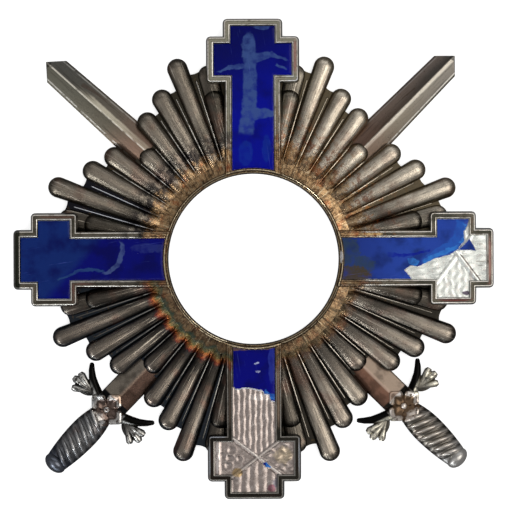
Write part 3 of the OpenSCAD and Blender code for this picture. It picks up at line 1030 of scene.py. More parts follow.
class Finish:
    """A material's nodes, with the place on the badge in millimetres."""

    def __init__(self, name):
        self.material = bpy.data.materials.new(name)
        self.material.use_nodes = True
        self.tree = self.material.node_tree
        self.tree.nodes.clear()
        place = self.node("TexCoord", output="Object")
        self.place = self.node("VectorMath", {0: place, "Scale": 1 / MM}, operation="SCALE")
        split = self.node("SeparateXYZ", {0: self.place})
        self.x, self.y, self.z = (Wire(self, split.socket.node.outputs[i]) for i in range(3))
        self.radius = (self.x * self.x + self.y * self.y) ** 0.5
        self.angle = self.x.math("ARCTAN2", self.y, self.x)
        facing = self.node("NewGeometry", output="Normal")
        facing = self.node("SeparateXYZ", {0: facing}).socket.node.outputs
        self.slope_up, self.level = Wire(self, facing[1]), Wire(self, facing[2])

    def node(self, kind, sockets=None, output=0, stops=None, **settings):
        """Adds a node with its settings, then its ramp, then the values or wires of its sockets."""
        node = self.tree.nodes.new(f"ShaderNode{kind}")
        for name, value in settings.items():
            setattr(node, name, value)
        if stops:
            elements = node.color_ramp.elements
            for i, (position, colour) in enumerate(stops):
                element = elements[i] if i < len(elements) else elements.new(position)
                element.position = position
                element.color = solid_colour(colour)
        for key, value in (sockets or {}).items():
            if isinstance(value, Wire):
                self.tree.links.new(value.socket, node.inputs[key])
            else:
                node.inputs[key].default_value = value
        return Wire(self, node.outputs[output]) if node.outputs else None

    def noise(self, size, detail=3.0, roughness=0.5, vector=None):
        """Cloudy noise whose spots measure about a size in millimetres, from 0 to 1."""
        vector = vector or self.place
        sockets = {"Vector": vector, "Scale": 1 / size, "Detail": detail, "Roughness": roughness}
        return self.node("TexNoise", sockets)

    def stretched(self, degrees, along, across):
        """The place turned by an angle and drawn out, for marks that run in one direction."""
        turned = self.node(
            "Mapping", {"Vector": self.place, "Rotation": (0, 0, math.radians(-degrees))}
        )
        return self.node("VectorMath", {0: turned, 1: (1 / along, 1 / across, 1)}, operation="MULTIPLY")

    def polar(self, along, across):
        """Distance from the hub and angle round it as a vector, for marks that run with the rays."""
        return self.node("CombineXYZ", {0: self.radius / along, 1: self.angle / across, 2: self.z})

    def mix(self, first, second, factor):
        """A colour between two, by a factor from 0 to 1."""
        first, second = [c if isinstance(c, Wire) else solid_colour(c) for c in (first, second)]
        return self.node("Mix", {0: factor, 6: first, 7: second}, output=2, data_type="RGBA")

    def arm(self, degrees):
        """Distance along and across an arm at this place."""
        c, s = math.cos(math.radians(degrees)), math.sin(math.radians(degrees))
        return self.x * c + self.y * s, self.y * c - self.x * s

    def ray_wave(self):
        """Rises to 1 on the middle line of each ray and falls to -1 between two rays."""
        right, upper = self.x.rising(-0.5, 0.5), self.y.rising(-0.5, 0.5)
        middles = {name: math.radians(angle % RAY_PITCH) for name, angle in FAN_ANGLES.items()}
        top = right * (middles["upper_right"] - middles["upper_left"]) + middles["upper_left"]
        low = right * (middles["lower_right"] - middles["lower_left"]) + middles["lower_left"]
        offset = low + upper * (top - low)
        return ((self.angle - offset) * (360 / RAY_PITCH)).cosine()

    def bump(self, height, strength, distance):
        return self.node("Bump", {"Strength": strength, "Distance": distance * MM, "Height": height})

    def surface(self, **sockets):
        """Ends the finish with a surface shader."""
        names = [name.replace("_", " ").title().replace("Ior", "IOR") for name in sockets]
        shader = self.node("BsdfPrincipled", dict(zip(names, sockets.values())))
        self.node("OutputMaterial", {"Surface": shader})
        return self.material


def by_quarter(f, upper_left, upper_right, lower_left, lower_right):
    """A colour that changes softly from one quarter of the badge to the next."""
    right = f.x.rising(-5.0, 5.0)
    lower = f.y.falling(-5.0, 5.0)
    upper = f.mix(upper_left, upper_right, right)
    return f.mix(upper, f.mix(lower_left, lower_right, right), lower)


def round_hub(f, colour):
    """Lays gold-brown lacquer and heat colours over the metal round the seat."""
    lower = f.y.falling(-6.0, 3.0)
    left = f.x.falling(-8.0, 8.0)
    cloud = f.noise(1.3, 4, 0.6) - 0.5
    edge = f.radius + cloud * 5.0 + (f.noise(0.4, 2) - 0.5) * 1.5
    # A dark bloom outside the lacquer in the upper left
    bloom = f.radius.band(13.2, 14.0, 15.4, 17.5) * (1 - lower) * left
    colour = f.mix(colour, "141018", bloom * f.noise(0.9, 3).rising(0.38, 0.56) * 0.85)
    # Orange-brown mottling that reaches far out on the upper right
    far = f.radius.falling(14.5, 21.0) * (1 - left) * (1 - lower)
    rust = f.mix("a8713c", "8a4c2c", f.noise(1.1, 3).rising(0.4, 0.6))
    colour = f.mix(colour, rust, far * f.noise(0.7, 4, 0.7).rising(0.48, 0.62) * 0.85)
    gold = f.mix("c8a478", "70553a", f.noise(0.55, 4, 0.65).rising(0.42, 0.64))
    gold = f.mix(gold, "b4673a", f.noise(1.5, 3).rising(0.52, 0.68) * 0.6)
    # Painted glints: small bright spots in the lacquer
    gold = f.mix(gold, "f0dcb8", f.noise(0.25, 2).rising(0.6, 0.74) * 0.7)
    gold = f.mix(gold, "40352a", lower * 0.55)
    wave = f.ray_wave()
    gold = f.mix(gold, "2c2114", wave.falling(-1.0, -0.4) * 0.22)
    lines = f.noise(1.0, 4, 0.65, f.polar(3.0, 0.018))
    gold = f.mix(gold, "2c2016", lines.falling(0.36, 0.48) * 0.7)
    gold = f.mix(gold, "f6e2ba", lines.rising(0.58, 0.68) * 0.6)
    edge = edge - (1 - left) * (1 - lower) * 1.1
    colour = f.mix(colour, gold, edge.falling(12.9, 14.5) * 0.92)
    # Heat colours, strongest in the lower left: teal, olive, orange, red
    hue_radius = f.radius + cloud * 1.2 - wave * 0.2 - (f.noise(0.35, 3) - 0.5) * 1.0
    hues = f.node(
        "ValToRGB", {0: (hue_radius - 12.0) / 2.5},
        stops=[(0.04, "5a4c34"), (0.18, "2c5650"), (0.36, "68663a"),
               (0.54, "b0642e"), (0.7, "7c2c1c"), (0.88, "1a1622")],
    )
    reach = hue_radius.band(12.0, 12.3, 13.9, 14.6)
    reach = reach * f.level.rising(0.3, 0.7) * (f.noise(0.6, 3).rising(0.32, 0.56) * 0.5 + 0.5)
    return f.mix(colour, hues, reach * lower * (left * 0.62 + 0.12))


def silver_finish(name, colour_of, roughness, pitting=0.5, drawn=0.0, grime=0.2):
    """Toned silver: its colour by a rule, with painted shade on steep walls, finely pitted near the hub.
    """
    f = Finish(name)
    colour = colour_of(f)
    fine = f.noise(0.3, 5, 0.65)
    near_hub = f.radius.falling(13.5, 19.0)
    colour = f.mix(colour, "241f18", fine.rising(0.55, 0.7) * (near_hub * 0.4 + grime))
    # Painted shade: steep walls are darkened
    colour = f.mix(colour, "1a1815", f.level.falling(0.02, 0.35) * 0.4)
    height = f.noise(0.28, 4, 0.7) * (near_hub * 0.75 + 0.25)
    # The rays go on as low waves across the ring round the seat
    height = height + f.ray_wave() * 0.15 * f.radius.band(11.35, 11.6, 13.0, 13.6)
    if drawn:
        height = height + f.noise(1.0, 4, 0.6, f.polar(4.0, 0.01)) * drawn
    polished = f.x.falling(-8.0, 4.0) * f.y.falling(-8.0, 4.0)
    return f.surface(
        base_color=colour,
        metallic=0.92,
        roughness=roughness + (fine - 0.5) * 0.3 - near_hub * 0.06 - polished * 0.08,
        normal=f.bump(height, pitting, 0.07),
    )


def ray_colour(f):
    """Crest lighter than the flanks, partly worn silver and partly painted highlight; flanks partly
    tarnish and partly painted shade; streaks that run along the rays.
    """
    streaks = f.noise(1.0, 5, 0.7, f.polar(5.0, 0.014)) - 0.5
    cloud = f.noise(2.0, 4, 0.6) - 0.5
    # Painted highlight on the crest where the ray faces up, over worn silver; painted shade on the flanks
    crest = (f.level + streaks * 0.8 + cloud * 0.3).rising(0.66, 1.04)
    # Toned by quarter, partly tarnish and partly painted light: lightest in the upper right, darkest in
    # the lower left
    flank = by_quarter(f, "4e493f", "766b57", "2a2f34", "34322d")
    back = by_quarter(f, "948a7c", "e8dcc8", "8f8579", "b4a898")
    colour = f.mix(flank, back, crest)
    # In the shade of the arms
    beside = abs(f.x).falling(5.4, 7.6).most(abs(f.y).falling(5.4, 7.6))
    colour = f.mix(colour, "1e1d18", beside * f.radius.rising(14.0, 17.0) * 0.72)
    # Darker towards the hub in the lower half
    darker_low_hub = f.radius.falling(14.5, 20.5) * f.y.falling(-9.0, -1.0)
    colour = f.mix(colour, "161514", darker_low_hub * (f.x.rising(-6.0, 6.0) * -0.25 + 0.88))
    colour = f.mix(colour, "7d5a4c", f.noise(2.8, 3).rising(0.5, 0.7) * 0.4)
    colour = f.mix(colour, "16140f", streaks.rising(0.08, 0.2) * 0.55)
    # Drawn lines along the rays, with a painted highlight where they face up
    drawn = f.noise(1.0, 3, 0.6, f.polar(7.0, 0.009)).rising(0.6, 0.68)
    colour = f.mix(colour, "f4e8d6", drawn * f.level.rising(0.5, 0.8) * 0.45)
    # Painted glints: small bright specks near the hub, in the upper part
    specks = f.noise(0.18, 2).rising(0.66, 0.76) * f.radius.falling(14.0, 20.0)
    colour = f.mix(colour, "fff6e6", specks * f.y.rising(-1.0, 6.0) * 0.7)
    return round_hub(f, colour)


def groove_colour(f):
    # Toned by quarter, partly tarnish and partly painted light: lightest in the upper right
    ground = by_quarter(f, "3c382f", "625846", "272d34", "33302a")
    # Painted reflection: blue-black in the grooves above the left arm
    blue_reflection = f.angle.band(2.55, 2.66, 2.95, 3.02)
    ground = f.mix(ground, "0c1020", blue_reflection * 0.8)
    ground = f.mix(ground, "6a5638", f.noise(0.5, 4, 0.7).rising(0.56, 0.7) * 0.5)
    return round_hub(f, ground)


def line_colour(f):
    """Bright where the line is rubbed, with a painted blue-white reflection above the left arm, lost here
    and there.
    """
    rubbed = f.noise(1.0, 3, 0.6, f.polar(1.6, 0.01)).rising(0.3, 0.48)
    fade = 1 - f.radius.rising(15.5, 22.0) * 0.6
    bright = by_quarter(f, "fffaf0", "fff0d8", "b4b2ac", "f0e6d6")
    colour = f.mix("3a352b", bright, rubbed * fade)
    # Painted reflection: blue-white on the lines above the left arm
    blue_reflection = f.angle.band(2.58, 2.66, 2.90, 2.98)
    return round_hub(f, f.mix(colour, "f4f8ff", blue_reflection * f.radius.rising(13.5, 15.0)))


# Stains of the cross, and painted glints on its lips. Columns: x, y, half width, half height, colour, how
# strong
CHANNEL_STAINS = [
    (5.25, 25.3, 0.4, 2.5, "b08880", 0.85), (25.0, -5.1, 2.4, 0.4, "6a3c38", 0.9),
    (29.45, -0.2, 0.4, 3.2, "a88278", 0.8), (14.6, 3.1, 1.6, 0.5, "e0c088", 0.8),
    (12.4, 3.1, 1.0, 0.5, "a85a34", 0.8), (-24.6, 5.4, 2.4, 0.4, "7c6054", 0.7),
    (3.1, 16.0, 0.5, 5.0, "8c7a62", 0.6), (-3.1, 13.5, 0.5, 2.2, "a89488", 0.7),
    (3.1, -16.4, 0.5, 5.0, "9c8876", 0.7), (-3.1, -17.0, 0.5, 4.5, "6c6056", 0.6),
]
GROUND_STAINS = [
    (-2.2, -26.7, 0.8, 0.7, "a8894e", 0.7), (2.9, -28.0, 0.7, 1.0, "4a4e60", 0.7),
    (2.1, -28.7, 0.6, 0.5, "7a3450", 0.7), (3.6, -24.6, 1.3, 1.2, "d8c4a0", 0.5),
    (-4.6, -24.8, 0.35, 2.2, "f4ece6", 0.7), (26.7, -4.4, 0.6, 0.3, "3c2448", 0.9),
    (27.2, -2.0, 0.25, 1.0, "8a7468", 0.4), (0.8, -17.3, 1.8, 0.5, "f0e6e0", 0.5),
    (28.3, 1.75, 0.5, 0.09, "77726a", 0.7), (28.4, -0.45, 0.6, 0.09, "77726a", 0.7),
    (28.4, -0.95, 0.4, 0.08, "77726a", 0.6), (28.1, -2.2, 0.4, 0.08, "77726a", 0.5),
]
LIP_GLINTS = [
    (5.0, 22.5, 1.0, 0.5, "ffffff", 1.0), (-4.9, -22.1, 1.4, 0.4, "ccd4e0", 0.6),
    (-5.8, -25.0, 0.4, 2.6, "ccd4e0", 0.6), (5.75, -24.5, 0.4, 2.6, "ccd4e0", 0.6),
]


def spot(f, x, y, half_x, half_y, wobble=0.6):
    """A soft round patch at a place on the badge."""
    warp = (f.noise(0.8, 2) - 0.5) * wobble * 2
    dx, dy = (f.x - x) / half_x + warp, (f.y - y) / half_y - warp
    return (dx * dx + dy * dy).falling(0.4, 1.1)


def stains_and_glints(f, colour, patch_table, wobble=0.6):
    """Lays a soft patch on a colour for each row of a table."""
    for x, y, half_x, half_y, patch_colour, strength in patch_table:
        colour = f.mix(colour, patch_colour, spot(f, x, y, half_x, half_y, wobble) * strength)
    return colour


def chased_cross(f, arm):
    """Distances from the two lines chased on an arm's bare ground, place across it, mask of its end."""
    look = GROUNDS[arm]
    u, v = f.arm(ARM_ANGLES[arm])
    du, dv = u - look.crossing, (v - look.aside) * CROSS_SLOPE
    run = math.hypot(1, CROSS_SLOPE)
    return (du - dv) / run, (du + dv) / run, v, u.rising(20.0, 20.5)


def bare_ground(f, lower):
    """The ground where the enamel is lost: pinkish in the lower arm, silver-white in the right arm."""
    bare = f.mix("f0f4ee", "aa9e98", lower)
    bare = f.mix(bare, "e8dcd4", f.noise(0.6, 3, 0.6).rising(0.5, 0.68) * 0.5)
    # Painted shade on the slopes of the chasing
    bare = f.mix(bare, "8c7a70", f.level.falling(0.8, 0.97) * 0.35)
    bare = f.mix(bare, "6e584c", f.noise(0.35, 4, 0.7).rising(0.54, 0.68) * lower * 0.5)
    # The chased lines: bright crests, rubbed and with a painted highlight, and a painted shadow beside
    # them on one side
    one, other, _, end = chased_cross(f, "bottom")
    bare = f.mix(bare, "5c4a40", abs(one - 0.26).falling(0.05, 0.13) * end * 0.55)
    bare = f.mix(bare, "f4ece4", abs(other).falling(0.06, 0.16) * end * 0.45)
    bare = f.mix(bare, "f8f0e8", abs(one).falling(0.06, 0.16) * end * 0.75)
    # On the right arm, only the painted shadow beside one line
    _, other, across, end = chased_cross(f, "right")
    groove = abs(other - 0.26).falling(0.05, 0.13) * across.falling(0.3, 0.5)
    bare = f.mix(bare, "5c4a40", groove * end * 0.8)
    return stains_and_glints(f, bare, GROUND_STAINS)


def frame_colour(f):
    """Bright lips, an olive-grey channel between them, and the bare ground of the cells."""
    top, floor_top = 3.0, 2.6
    lower = f.y.falling(-17.0, -9.0)
    lip = f.z.rising(top - 0.13, top - 0.04)
    channel = f.mix("6f695c", "4c4a40", f.noise(2.2, 3).rising(0.4, 0.6))
    channel = f.mix(channel, "8a6258", f.noise(4.5, 2).rising(0.55, 0.7) * 0.7)
    channel = f.mix(channel, "b0ae9c", f.y.rising(9.0, 16.0) * 0.75)
    channel = f.mix(channel, "1c1a18", lower * 0.86)
    channel = stains_and_glints(f, channel, CHANNEL_STAINS, 0.3)
    lips = f.mix("efeae0", "a89f92", f.noise(1.1, 3).rising(0.5, 0.7))
    lips = f.mix(lips, "6c6862", lower * 0.75)
    # Painted glints on the lips
    lips = stains_and_glints(f, lips, LIP_GLINTS)
    colour = f.mix(channel, lips, lip)
    # Painted shade: the end of the left arm is dark
    colour = f.mix(colour, "23281e", f.x.falling(-29.35, -29.15) * 0.9)
    ground = f.z.band(2.15, 2.25, floor_top, floor_top + 0.08) * f.level.rising(0.35, 0.6)
    colour = f.mix(colour, bare_ground(f, lower), ground)
    colour = round_hub(f, colour)
    # The ring: dark chamfer and groove, and two bright lines on its crests, rubbed and with a painted
    # highlight
    line_a = f.radius.band(10.80, 10.86, 10.93, 10.99)
    line_b = f.radius.band(11.05, 11.1, 11.2, 11.26)
    rim = f.radius.falling(11.26, 11.4)
    ring = f.mix("3a2a1e", "e6d2ae", line_a.most(line_b))
    colour = f.mix(colour, ring, rim * f.noise(0.7, 3).rising(0.3, 0.5))
    # Painted glint on the ring
    return f.mix(colour, "ffffff", spot(f, 11.0, 0.2, 0.25, 0.8) * 0.9)


def blade_colour(place, look, sizes):
    """The colour rule of one blade: two flanks toned apart, partly by painted light and shade, a bright
    ridge with a painted highlight, a painted bright line and dark rim along the edges, a brown root.
    """

    def rule(f):
        degrees, aside = place
        u, v = f.arm(degrees)
        v = v - aside
        below = (v * look.below).rising(-0.05, 0.05)
        cloud = f.noise(1.8, 4, 0.6) - 0.5
        out = (u + cloud * 5.0).rising(25.0, 32.5)
        over = f.mix(look.upper, look.upper_tip, out)
        colour = f.mix(over, f.mix(look.lower, look.lower_tip, out), below)
        # Painted highlight: a bright band beside the ridge, on the lit flank only; painted shade on the
        # other flank
        ends = (u + cloud * 2.0).rising(26.5, 31.5) * look.band_ends
        band = (abs(v) + cloud * 0.3).falling(look.band_w - 0.25, look.band_w) * (1 - ends)
        lit = (v * look.below * look.band_side).rising(-0.05, 0.05)
        colour = f.mix(colour, look.band, band * lit * 0.85)
        outer = (abs(v) + cloud * 0.6).rising(0.4, 1.5)
        dim = (1 - below) * (1 - lit)
        colour = f.mix(colour, "302824", dim * (1 - outer) * 0.45)
        colour = f.mix(colour, "a08c80", dim * outer * 0.5)
        colour = f.mix(colour, "4a3226", streak(f, u, v, look.scratch) * 0.4)
        root = (u + cloud * 3.0).falling(20.0, 25.5)
        colour = f.mix(colour, "94705e", root * 0.5)
        drawn = f.noise(1.0, 4, 0.7, f.stretched(degrees, 7.0, 0.35)) - 0.5
        colour = f.mix(colour, "2c2620", drawn.rising(0.02, 0.2) * 0.5)
        scuffs = f.noise(0.5, 4, 0.7, f.stretched(degrees + 12, 3.0, 0.25)).rising(0.6, 0.72)
        colour = f.mix(colour, "3e382e", scuffs * 0.45)
        # The ridge: rubbed, with a painted highlight
        ridge = abs(v).falling(0.05, 0.15)
        rubbed = f.noise(1.2, 3).rising(0.3, 0.5)
        colour = f.mix(colour, "fff6e4", ridge * rubbed * 0.6)
        # Painted highlight: a bright line inside a painted dark rim, which follows the narrowing blade
        edge = abs(v) + (u - sizes.start) * blade_narrowing(sizes)
        line = edge.band(1.78, 1.84, 1.94, 2.0) * f.noise(0.8, 3).rising(0.3, 0.5)
        colour = f.mix(colour, "4c473e", edge.rising(1.96, 2.04) * 0.5)
        return f.mix(colour, "fffaf0", line * (below * look.line + 0.25))

    return rule


# What below says is the sign of the place across the blade on its lower flank. band_side is 1 where
# the band of painted highlight lies on the lower flank, and band_ends is 1 where it ends before the tip
BLADE_LOOKS = {
    "left": SimpleNamespace(
        below=1, upper="70685c", upper_tip="585650", lower="5e584c", lower_tip="605d52",
        band="dcd2ba", band_side=-1, band_ends=1, band_w=0.75, line=0.1,
        scratch=(30.6, -0.9, 26.8, -1.3, 0.15, 0.3, 0.06),
    ),
    "right": SimpleNamespace(
        below=-1, upper="988474", upper_tip="78726a", lower="a09686", lower_tip="9c968c",
        band="f4ecdc", band_side=1, band_ends=0, band_w=0.5, line=0.7,
        scratch=(29.5, 0.7, 27.5, 0.9, 0.0, 0.1, 0.05),
    ),
}


def hilt_colour(degrees, look):
    """The colour rule of one hilt: black horns, veined leaves, a rosette with rubbed rims and painted
    glints, a wound grip with painted highlights on its strands, a short blade with painted light and
    shade.
    """

    def rule(f):
        u, v = f.arm(degrees)
        reach = abs(v)
        cloud = f.noise(0.7, 4) - 0.5
        high = f.z.rising(0.9, 2.3) + cloud * 0.5
        colour = f.mix(look.hollow, look.grip, high.rising(0.15, 0.85))
        colour = f.mix(colour, "7a5c50", f.noise(1.4, 3).rising(0.55, 0.7) * 0.4)
        colour = f.mix(colour, look.pommel, u.rising(32.5, 35.5) * 0.7)
        # Dark between two strands of the winding, and a painted highlight on the crest of each strand
        winding = (u - v * math.tan(math.radians(GRIP_LEAN)) - GRIP_START) * (math.tau / STRAND_PITCH)
        crest = winding.cosine()
        wound = u.band(GRIP_START, 28.2, 34.8, 35.2)
        colour = f.mix(colour, look.hollow, crest.rising(0.2, 0.8) * wound * look.groove)
        colour = f.mix(colour, look.rim, crest.falling(-0.95, -0.5) * wound * look.crest)
        # Rosette: brown hollow, bright rim and boss, rubbed and with painted glints
        off = u - ROSETTE_U
        flower = (off * off + v * v).falling(3.6, 4.3)
        rim = (f.z + cloud * 0.35).rising(1.6, 1.82)
        petals = f.mix(look.dish, look.rim, rim * f.noise(0.45, 3).rising(0.3, 0.5))
        colour = f.mix(colour, petals, flower * f.z.rising(1.1, 1.3))
        # Short blade: painted light and shade, each flank toned by the way it faces, the shaded flank
        # darker away from the ridge, and a painted highlight on the ridge
        flank = f.mix(look.lower_flank, look.upper_flank, f.slope_up.rising(-0.1, 0.1))
        flank = f.mix(flank, "2c211b", f.noise(1.6, 4).rising(0.46, 0.68) * 0.5)
        shaded = f.slope_up.falling(-0.1, 0.1) * reach.rising(0.7, 2.0)
        flank = f.mix(flank, "1c1512", shaded * 0.6)
        flank = f.mix(flank, "d8bca6", f.z.rising(1.2, 1.29) * 0.7)
        colour = f.mix(colour, flank, u.falling(24.6, 24.8))
        # Guard: the horn is black, the leaf has bright veins
        veins = f.z.rising(1.2, 1.45) * f.noise(0.4, 2).rising(0.35, 0.5)
        leaf = f.mix(look.leaf_low, look.leaf, veins)
        past_horn = (u + (reach - 2.4) * 0.37).rising(25.75, 26.05)
        guard = f.mix("0e0d0c", leaf, past_horn)
        return f.mix(colour, guard, reach.rising(2.02, 2.16) * u.falling(GRIP_START, 28.1))

    return rule


HILT_LOOKS = {
    "left": SimpleNamespace(
        hollow="1c1d20", grip="a4a4a4", pommel="3e485c", dish="6a5a52", rim="f0ece6", leaf="c8c6c0",
        leaf_low="504e4a", upper_flank="b4a898", lower_flank="866a5c", groove=0.45, crest=0.12,
    ),
    "right": SimpleNamespace(
        hollow="1c1914", grip="c4bcb0", pommel="d8d6d2", dish="735d48", rim="fff4e8", leaf="fcf6e2",
        leaf_low="8c877c", upper_flank="c0aa96", lower_flank="84604e", groove=0.78, crest=0.4,
    ),
}


def pin_colour(f):
    return f.mix("cfc8bc", "6b6656", f.noise(1.0, 3).rising(0.4, 0.65))


def streak(f, u, v, mark):
    """A curved patch from one place to another, which may grow narrower."""
    start_u, start_v, end_u, end_v, bend, start_w, end_w = mark
    run_u, run_v = end_u - start_u, end_v - start_v
    run = math.hypot(run_u, run_v)
    along = ((u - start_u) * run_u + (v - start_v) * run_v) / run**2
    aside = ((v - start_v) * run_u - (u - start_u) * run_v) / run
    aside = aside - along * (1 - along) * 4 * bend
    width = (along * (end_w - start_w) + start_w).most(0.02)
    return (abs(aside) / width).falling(0.75, 1.1) * along.band(-0.06, 0.02, 0.98, 1.06)


def enamel_finish(name, degrees, look, inner, outer):
    """Glossy cobalt glass with smoky patches and other marks, some of them painted reflections, fine
    scratches and pale broken walls.
    """
    f = Finish(name)
    flat_u, flat_v = f.arm(degrees)
    u = flat_u + (f.noise(1.4, 4, 0.6) - 0.5) * 1.0
    v = flat_v + (f.noise(1.0, 4, 0.6) - 0.5) * 0.8
    colour = f.mix(inner, outer, (u + v * look.slant).rising(*look.change))
    colour = f.mix(colour, inner * 0.5, f.noise(2.4, 3).rising(0.42, 0.72) * 0.8)
    uneven = f.noise(0.5, 4, 0.7) - 0.5
    for hue, strength, spots, streaks in look.marks:
        patches = [streak(f, u, v, mark) for mark in streaks]
        for spot_u, spot_v, half_u, half_v in spots:
            du, dv = (u - spot_u) / half_u, (v - spot_v) / half_v
            patches.append((du * du + dv * dv + uneven * look.ragged).falling(0.7, 1.15))
        mask = reduce(Wire.most, patches)
        colour = f.mix(colour, hue, mask * (f.noise(0.8, 4).rising(0.3, 0.6) * 0.6 + 0.4) * strength)
    scratches = f.noise(0.5, 4, 0.7, f.stretched(degrees + 8, 10.0, 0.3)).rising(0.64, 0.72)
    colour = f.mix(colour, (0.12, 0.18, 0.75), scratches * 0.3)
    specks = f.noise(0.14, 2, 0.5).rising(0.77, 0.82) * f.noise(1.6, 1).rising(0.5, 0.6)
    colour = f.mix(colour, (0.7, 0.75, 0.95), specks)
    edge = f.level.falling(0.45, 0.9) * look.broken * f.noise(0.2, 3).rising(0.3, 0.5)
    colour = f.mix(colour, (0.95, 0.97, 1.0), edge)
    return f.surface(
        base_color=colour,
        metallic=0.0,
        roughness=0.14 + scratches * 0.25 + edge * 0.4,
        specular_ior_level=0.1,
        normal=f.bump(f.noise(1.3, 3), 0.25, 0.08),
    )


def enamel_looks():
    """How the blue changes along each arm, and the marks on it, some of them painted reflections.

    A row of marks holds a colour, how strong it is, its round spots (place along and across the arm,
    half sizes) and its streaks (first place, last place, bend, half width at both ends).
    """
    reflected_haze, azure = (0.06, 0.12, 0.36), (0.05, 0.28, 0.85)
    top = SimpleNamespace(
        change=(18.0, 29.0), slant=0.6, broken=0, ragged=0.4,
        marks=[
            # Painted reflection of a window: a smoky haze, a long streak along the arm and two across it
            (
                reflected_haze, 0.85,
                [(26.3, 0.45, 2.0, 0.9), (29.1, -1.1, 0.45, 1.1)],
                [
                    (25.2, 0.4, 15.9, 0.85, 0.25, 0.85, 1.0), (24.9, -0.2, 24.9, -4.3, 0.55, 0.75, 0.1),
                    (24.1, 0.4, 23.4, 4.4, -0.25, 0.5, 0.08), (18.2, 0.0, 18.1, -2.7, 0.1, 0.9, 0.25),
                    (24.3, -3.0, 23.7, -4.3, 0.1, 0.25, 0.1),
                ],
            ),
            ((0.01, 0.06, 0.42), 0.35, [(13.2, 0.9, 1.6, 0.9), (13.8, -1.7, 1.8, 0.6)], []),
        ],
    )
    left = SimpleNamespace(
        change=(20.6, 22.4), slant=-0.9, broken=0, ragged=1.0,
        marks=[
            # Painted reflection: a curved smoky streak
            ((0.09, 0.14, 0.34), 0.7, [], [(16.4, -1.9, 18.6, 1.8, 0.8, 0.42, 0.25)]),
            ((0.06, 0.09, 0.30), 0.3, [(13.2, -1.4, 2.4, 0.6)], []),
            ((0.04, 0.12, 0.26), 0.5, [], [
                (18.8, 1.5, 22.3, 1.5, -0.25, 0.2, 0.2), (22.2, 1.5, 24.6, 2.5, 0.1, 0.2, 0.1)]),
        ],
    )
    right = SimpleNamespace(
        change=(13.0, 20.0), slant=0.0, broken=1, ragged=1.5,
        marks=[
            ((0.004, 0.012, 0.40), 0.8, [], [(16.9, 0.5, 21.8, 1.0, -0.35, 0.3, 0.15)]),
            ((0.03, 0.15, 0.66), 0.8, [], [
                (21.3, -0.3, 25.4, 1.7, 0.1, 0.4, 0.85), (25.2, 1.9, 25.9, 4.6, -0.4, 1.1, 0.6)]),
            (azure, 0.9, [(20.0, -0.45, 0.8, 0.5)], [
                (21.3, -0.4, 25.6, 1.4, 0.1, 0.3, 0.3), (25.9, 1.8, 26.5, 4.2, -0.4, 0.4, 0.3)]),
            ((0.04, 0.07, 0.10), 0.8, [(11.4, 1.0, 1.8, 1.9), (13.3, -0.9, 1.9, 1.3)], []),
            ((0.085, 0.062, 0.035), 0.95, [(11.8, -2.1, 3.0, 1.3)], []),
        ],
    )
    bottom = SimpleNamespace(
        change=(11.0, 17.0), slant=0.0, broken=1, ragged=1.0,
        marks=[
            ((0.03, 0.05, 0.40), 0.7, [(13.0, 2.2, 2.6, 0.45)], []),
            (azure, 0.8, [(25.8, 1.8, 0.6, 0.4)], [(16.6, 1.4, 17.4, 2.6, -0.1, 0.2, 0.5)]),
            ((0.20, 0.11, 0.04), 0.8, [(11.2, -1.9, 0.35, 1.3), (11.1, 1.8, 0.3, 1.2)], []),
            # Painted reflections: two small white spots
            ((0.6, 0.65, 0.95), 0.9, [(13.2, 0.35, 0.12, 0.35), (14.0, 0.4, 0.1, 0.3)], []),
        ],
    )
    return {"top": top, "left": left, "right": right, "bottom": bottom}


# Operators


class INSIGNIA_OT_stage(bpy.types.Operator):
    """Adds the floor, the lights and the camera"""

    bl_idname = "insignia.stage"
    bl_label = "Stage"

    def execute(self, context):
        stage = context.scene.insignia_stage
        floor = start("plane", "floor", size=1.2, location=(0, 0, -0.00002))
        paper = Finish("paper")
        grain = paper.noise(0.8, 4)
        white = paper.mix((0.9, 0.9, 0.9), (0.86, 0.86, 0.85), grain)
        floor.data.materials.append(
            paper.surface(base_color=white, roughness=0.9, emission_color=white, emission_strength=0.9)
        )
        floor.visible_glossy = False
        floor.visible_diffuse = False
        softbox("key", -6, 62, 0.5, 0.3, 0.3, stage.key, (1.0, 0.965, 0.92))
        softbox("overhead", 60, 88, 0.62, 0.4, 0.4, stage.top, (1.0, 0.96, 0.92))
        softbox("north", 80, 45, 0.5, 0.5, 0.2, stage.top * 2.5, (0.95, 0.97, 1.0))
        softbox("west", 205, 50, 0.5, 0.35, 0.35, stage.room * 2, (0.96, 0.97, 1.0))
        softbox("glint", 228, 34, 0.5, 0.05, 0.05, stage.strip * 8, (0.95, 0.98, 1.0))
        softbox("strip", 248, 16, 0.5, 0.5, 0.04, stage.strip, (0.86, 0.93, 1.0))
        world = context.scene.world or bpy.data.worlds.new("room")
        context.scene.world = world
        world.use_nodes = True
        room = world.node_tree.nodes["Background"]
        room.inputs["Color"].default_value = (0.97, 0.97, 1.0, 1)
        room.inputs["Strength"].default_value = stage.room
        place_camera(context, stage.camera_height)
        context.scene.view_settings.view_transform = "Standard"
        return {"FINISHED"}


def softbox(name, azimuth, elevation, distance, width, height, brightness, colour):
    """A soft light that looks at the badge from a direction in degrees."""
    a, e = math.radians(azimuth), math.radians(elevation)
    way = Vector((math.cos(a) * math.cos(e), math.sin(a) * math.cos(e), math.sin(e)))
    bpy.ops.object.light_add(type="AREA", location=way * distance)
    light = bpy.context.object
    light.name = name
    light.rotation_euler = way.to_track_quat("Z", "Y").to_euler()
    light.data.shape = "RECTANGLE"
    light.data.size = width
    light.data.size_y = height
    light.data.energy = brightness * math.pi * width * height
    light.data.color = colour


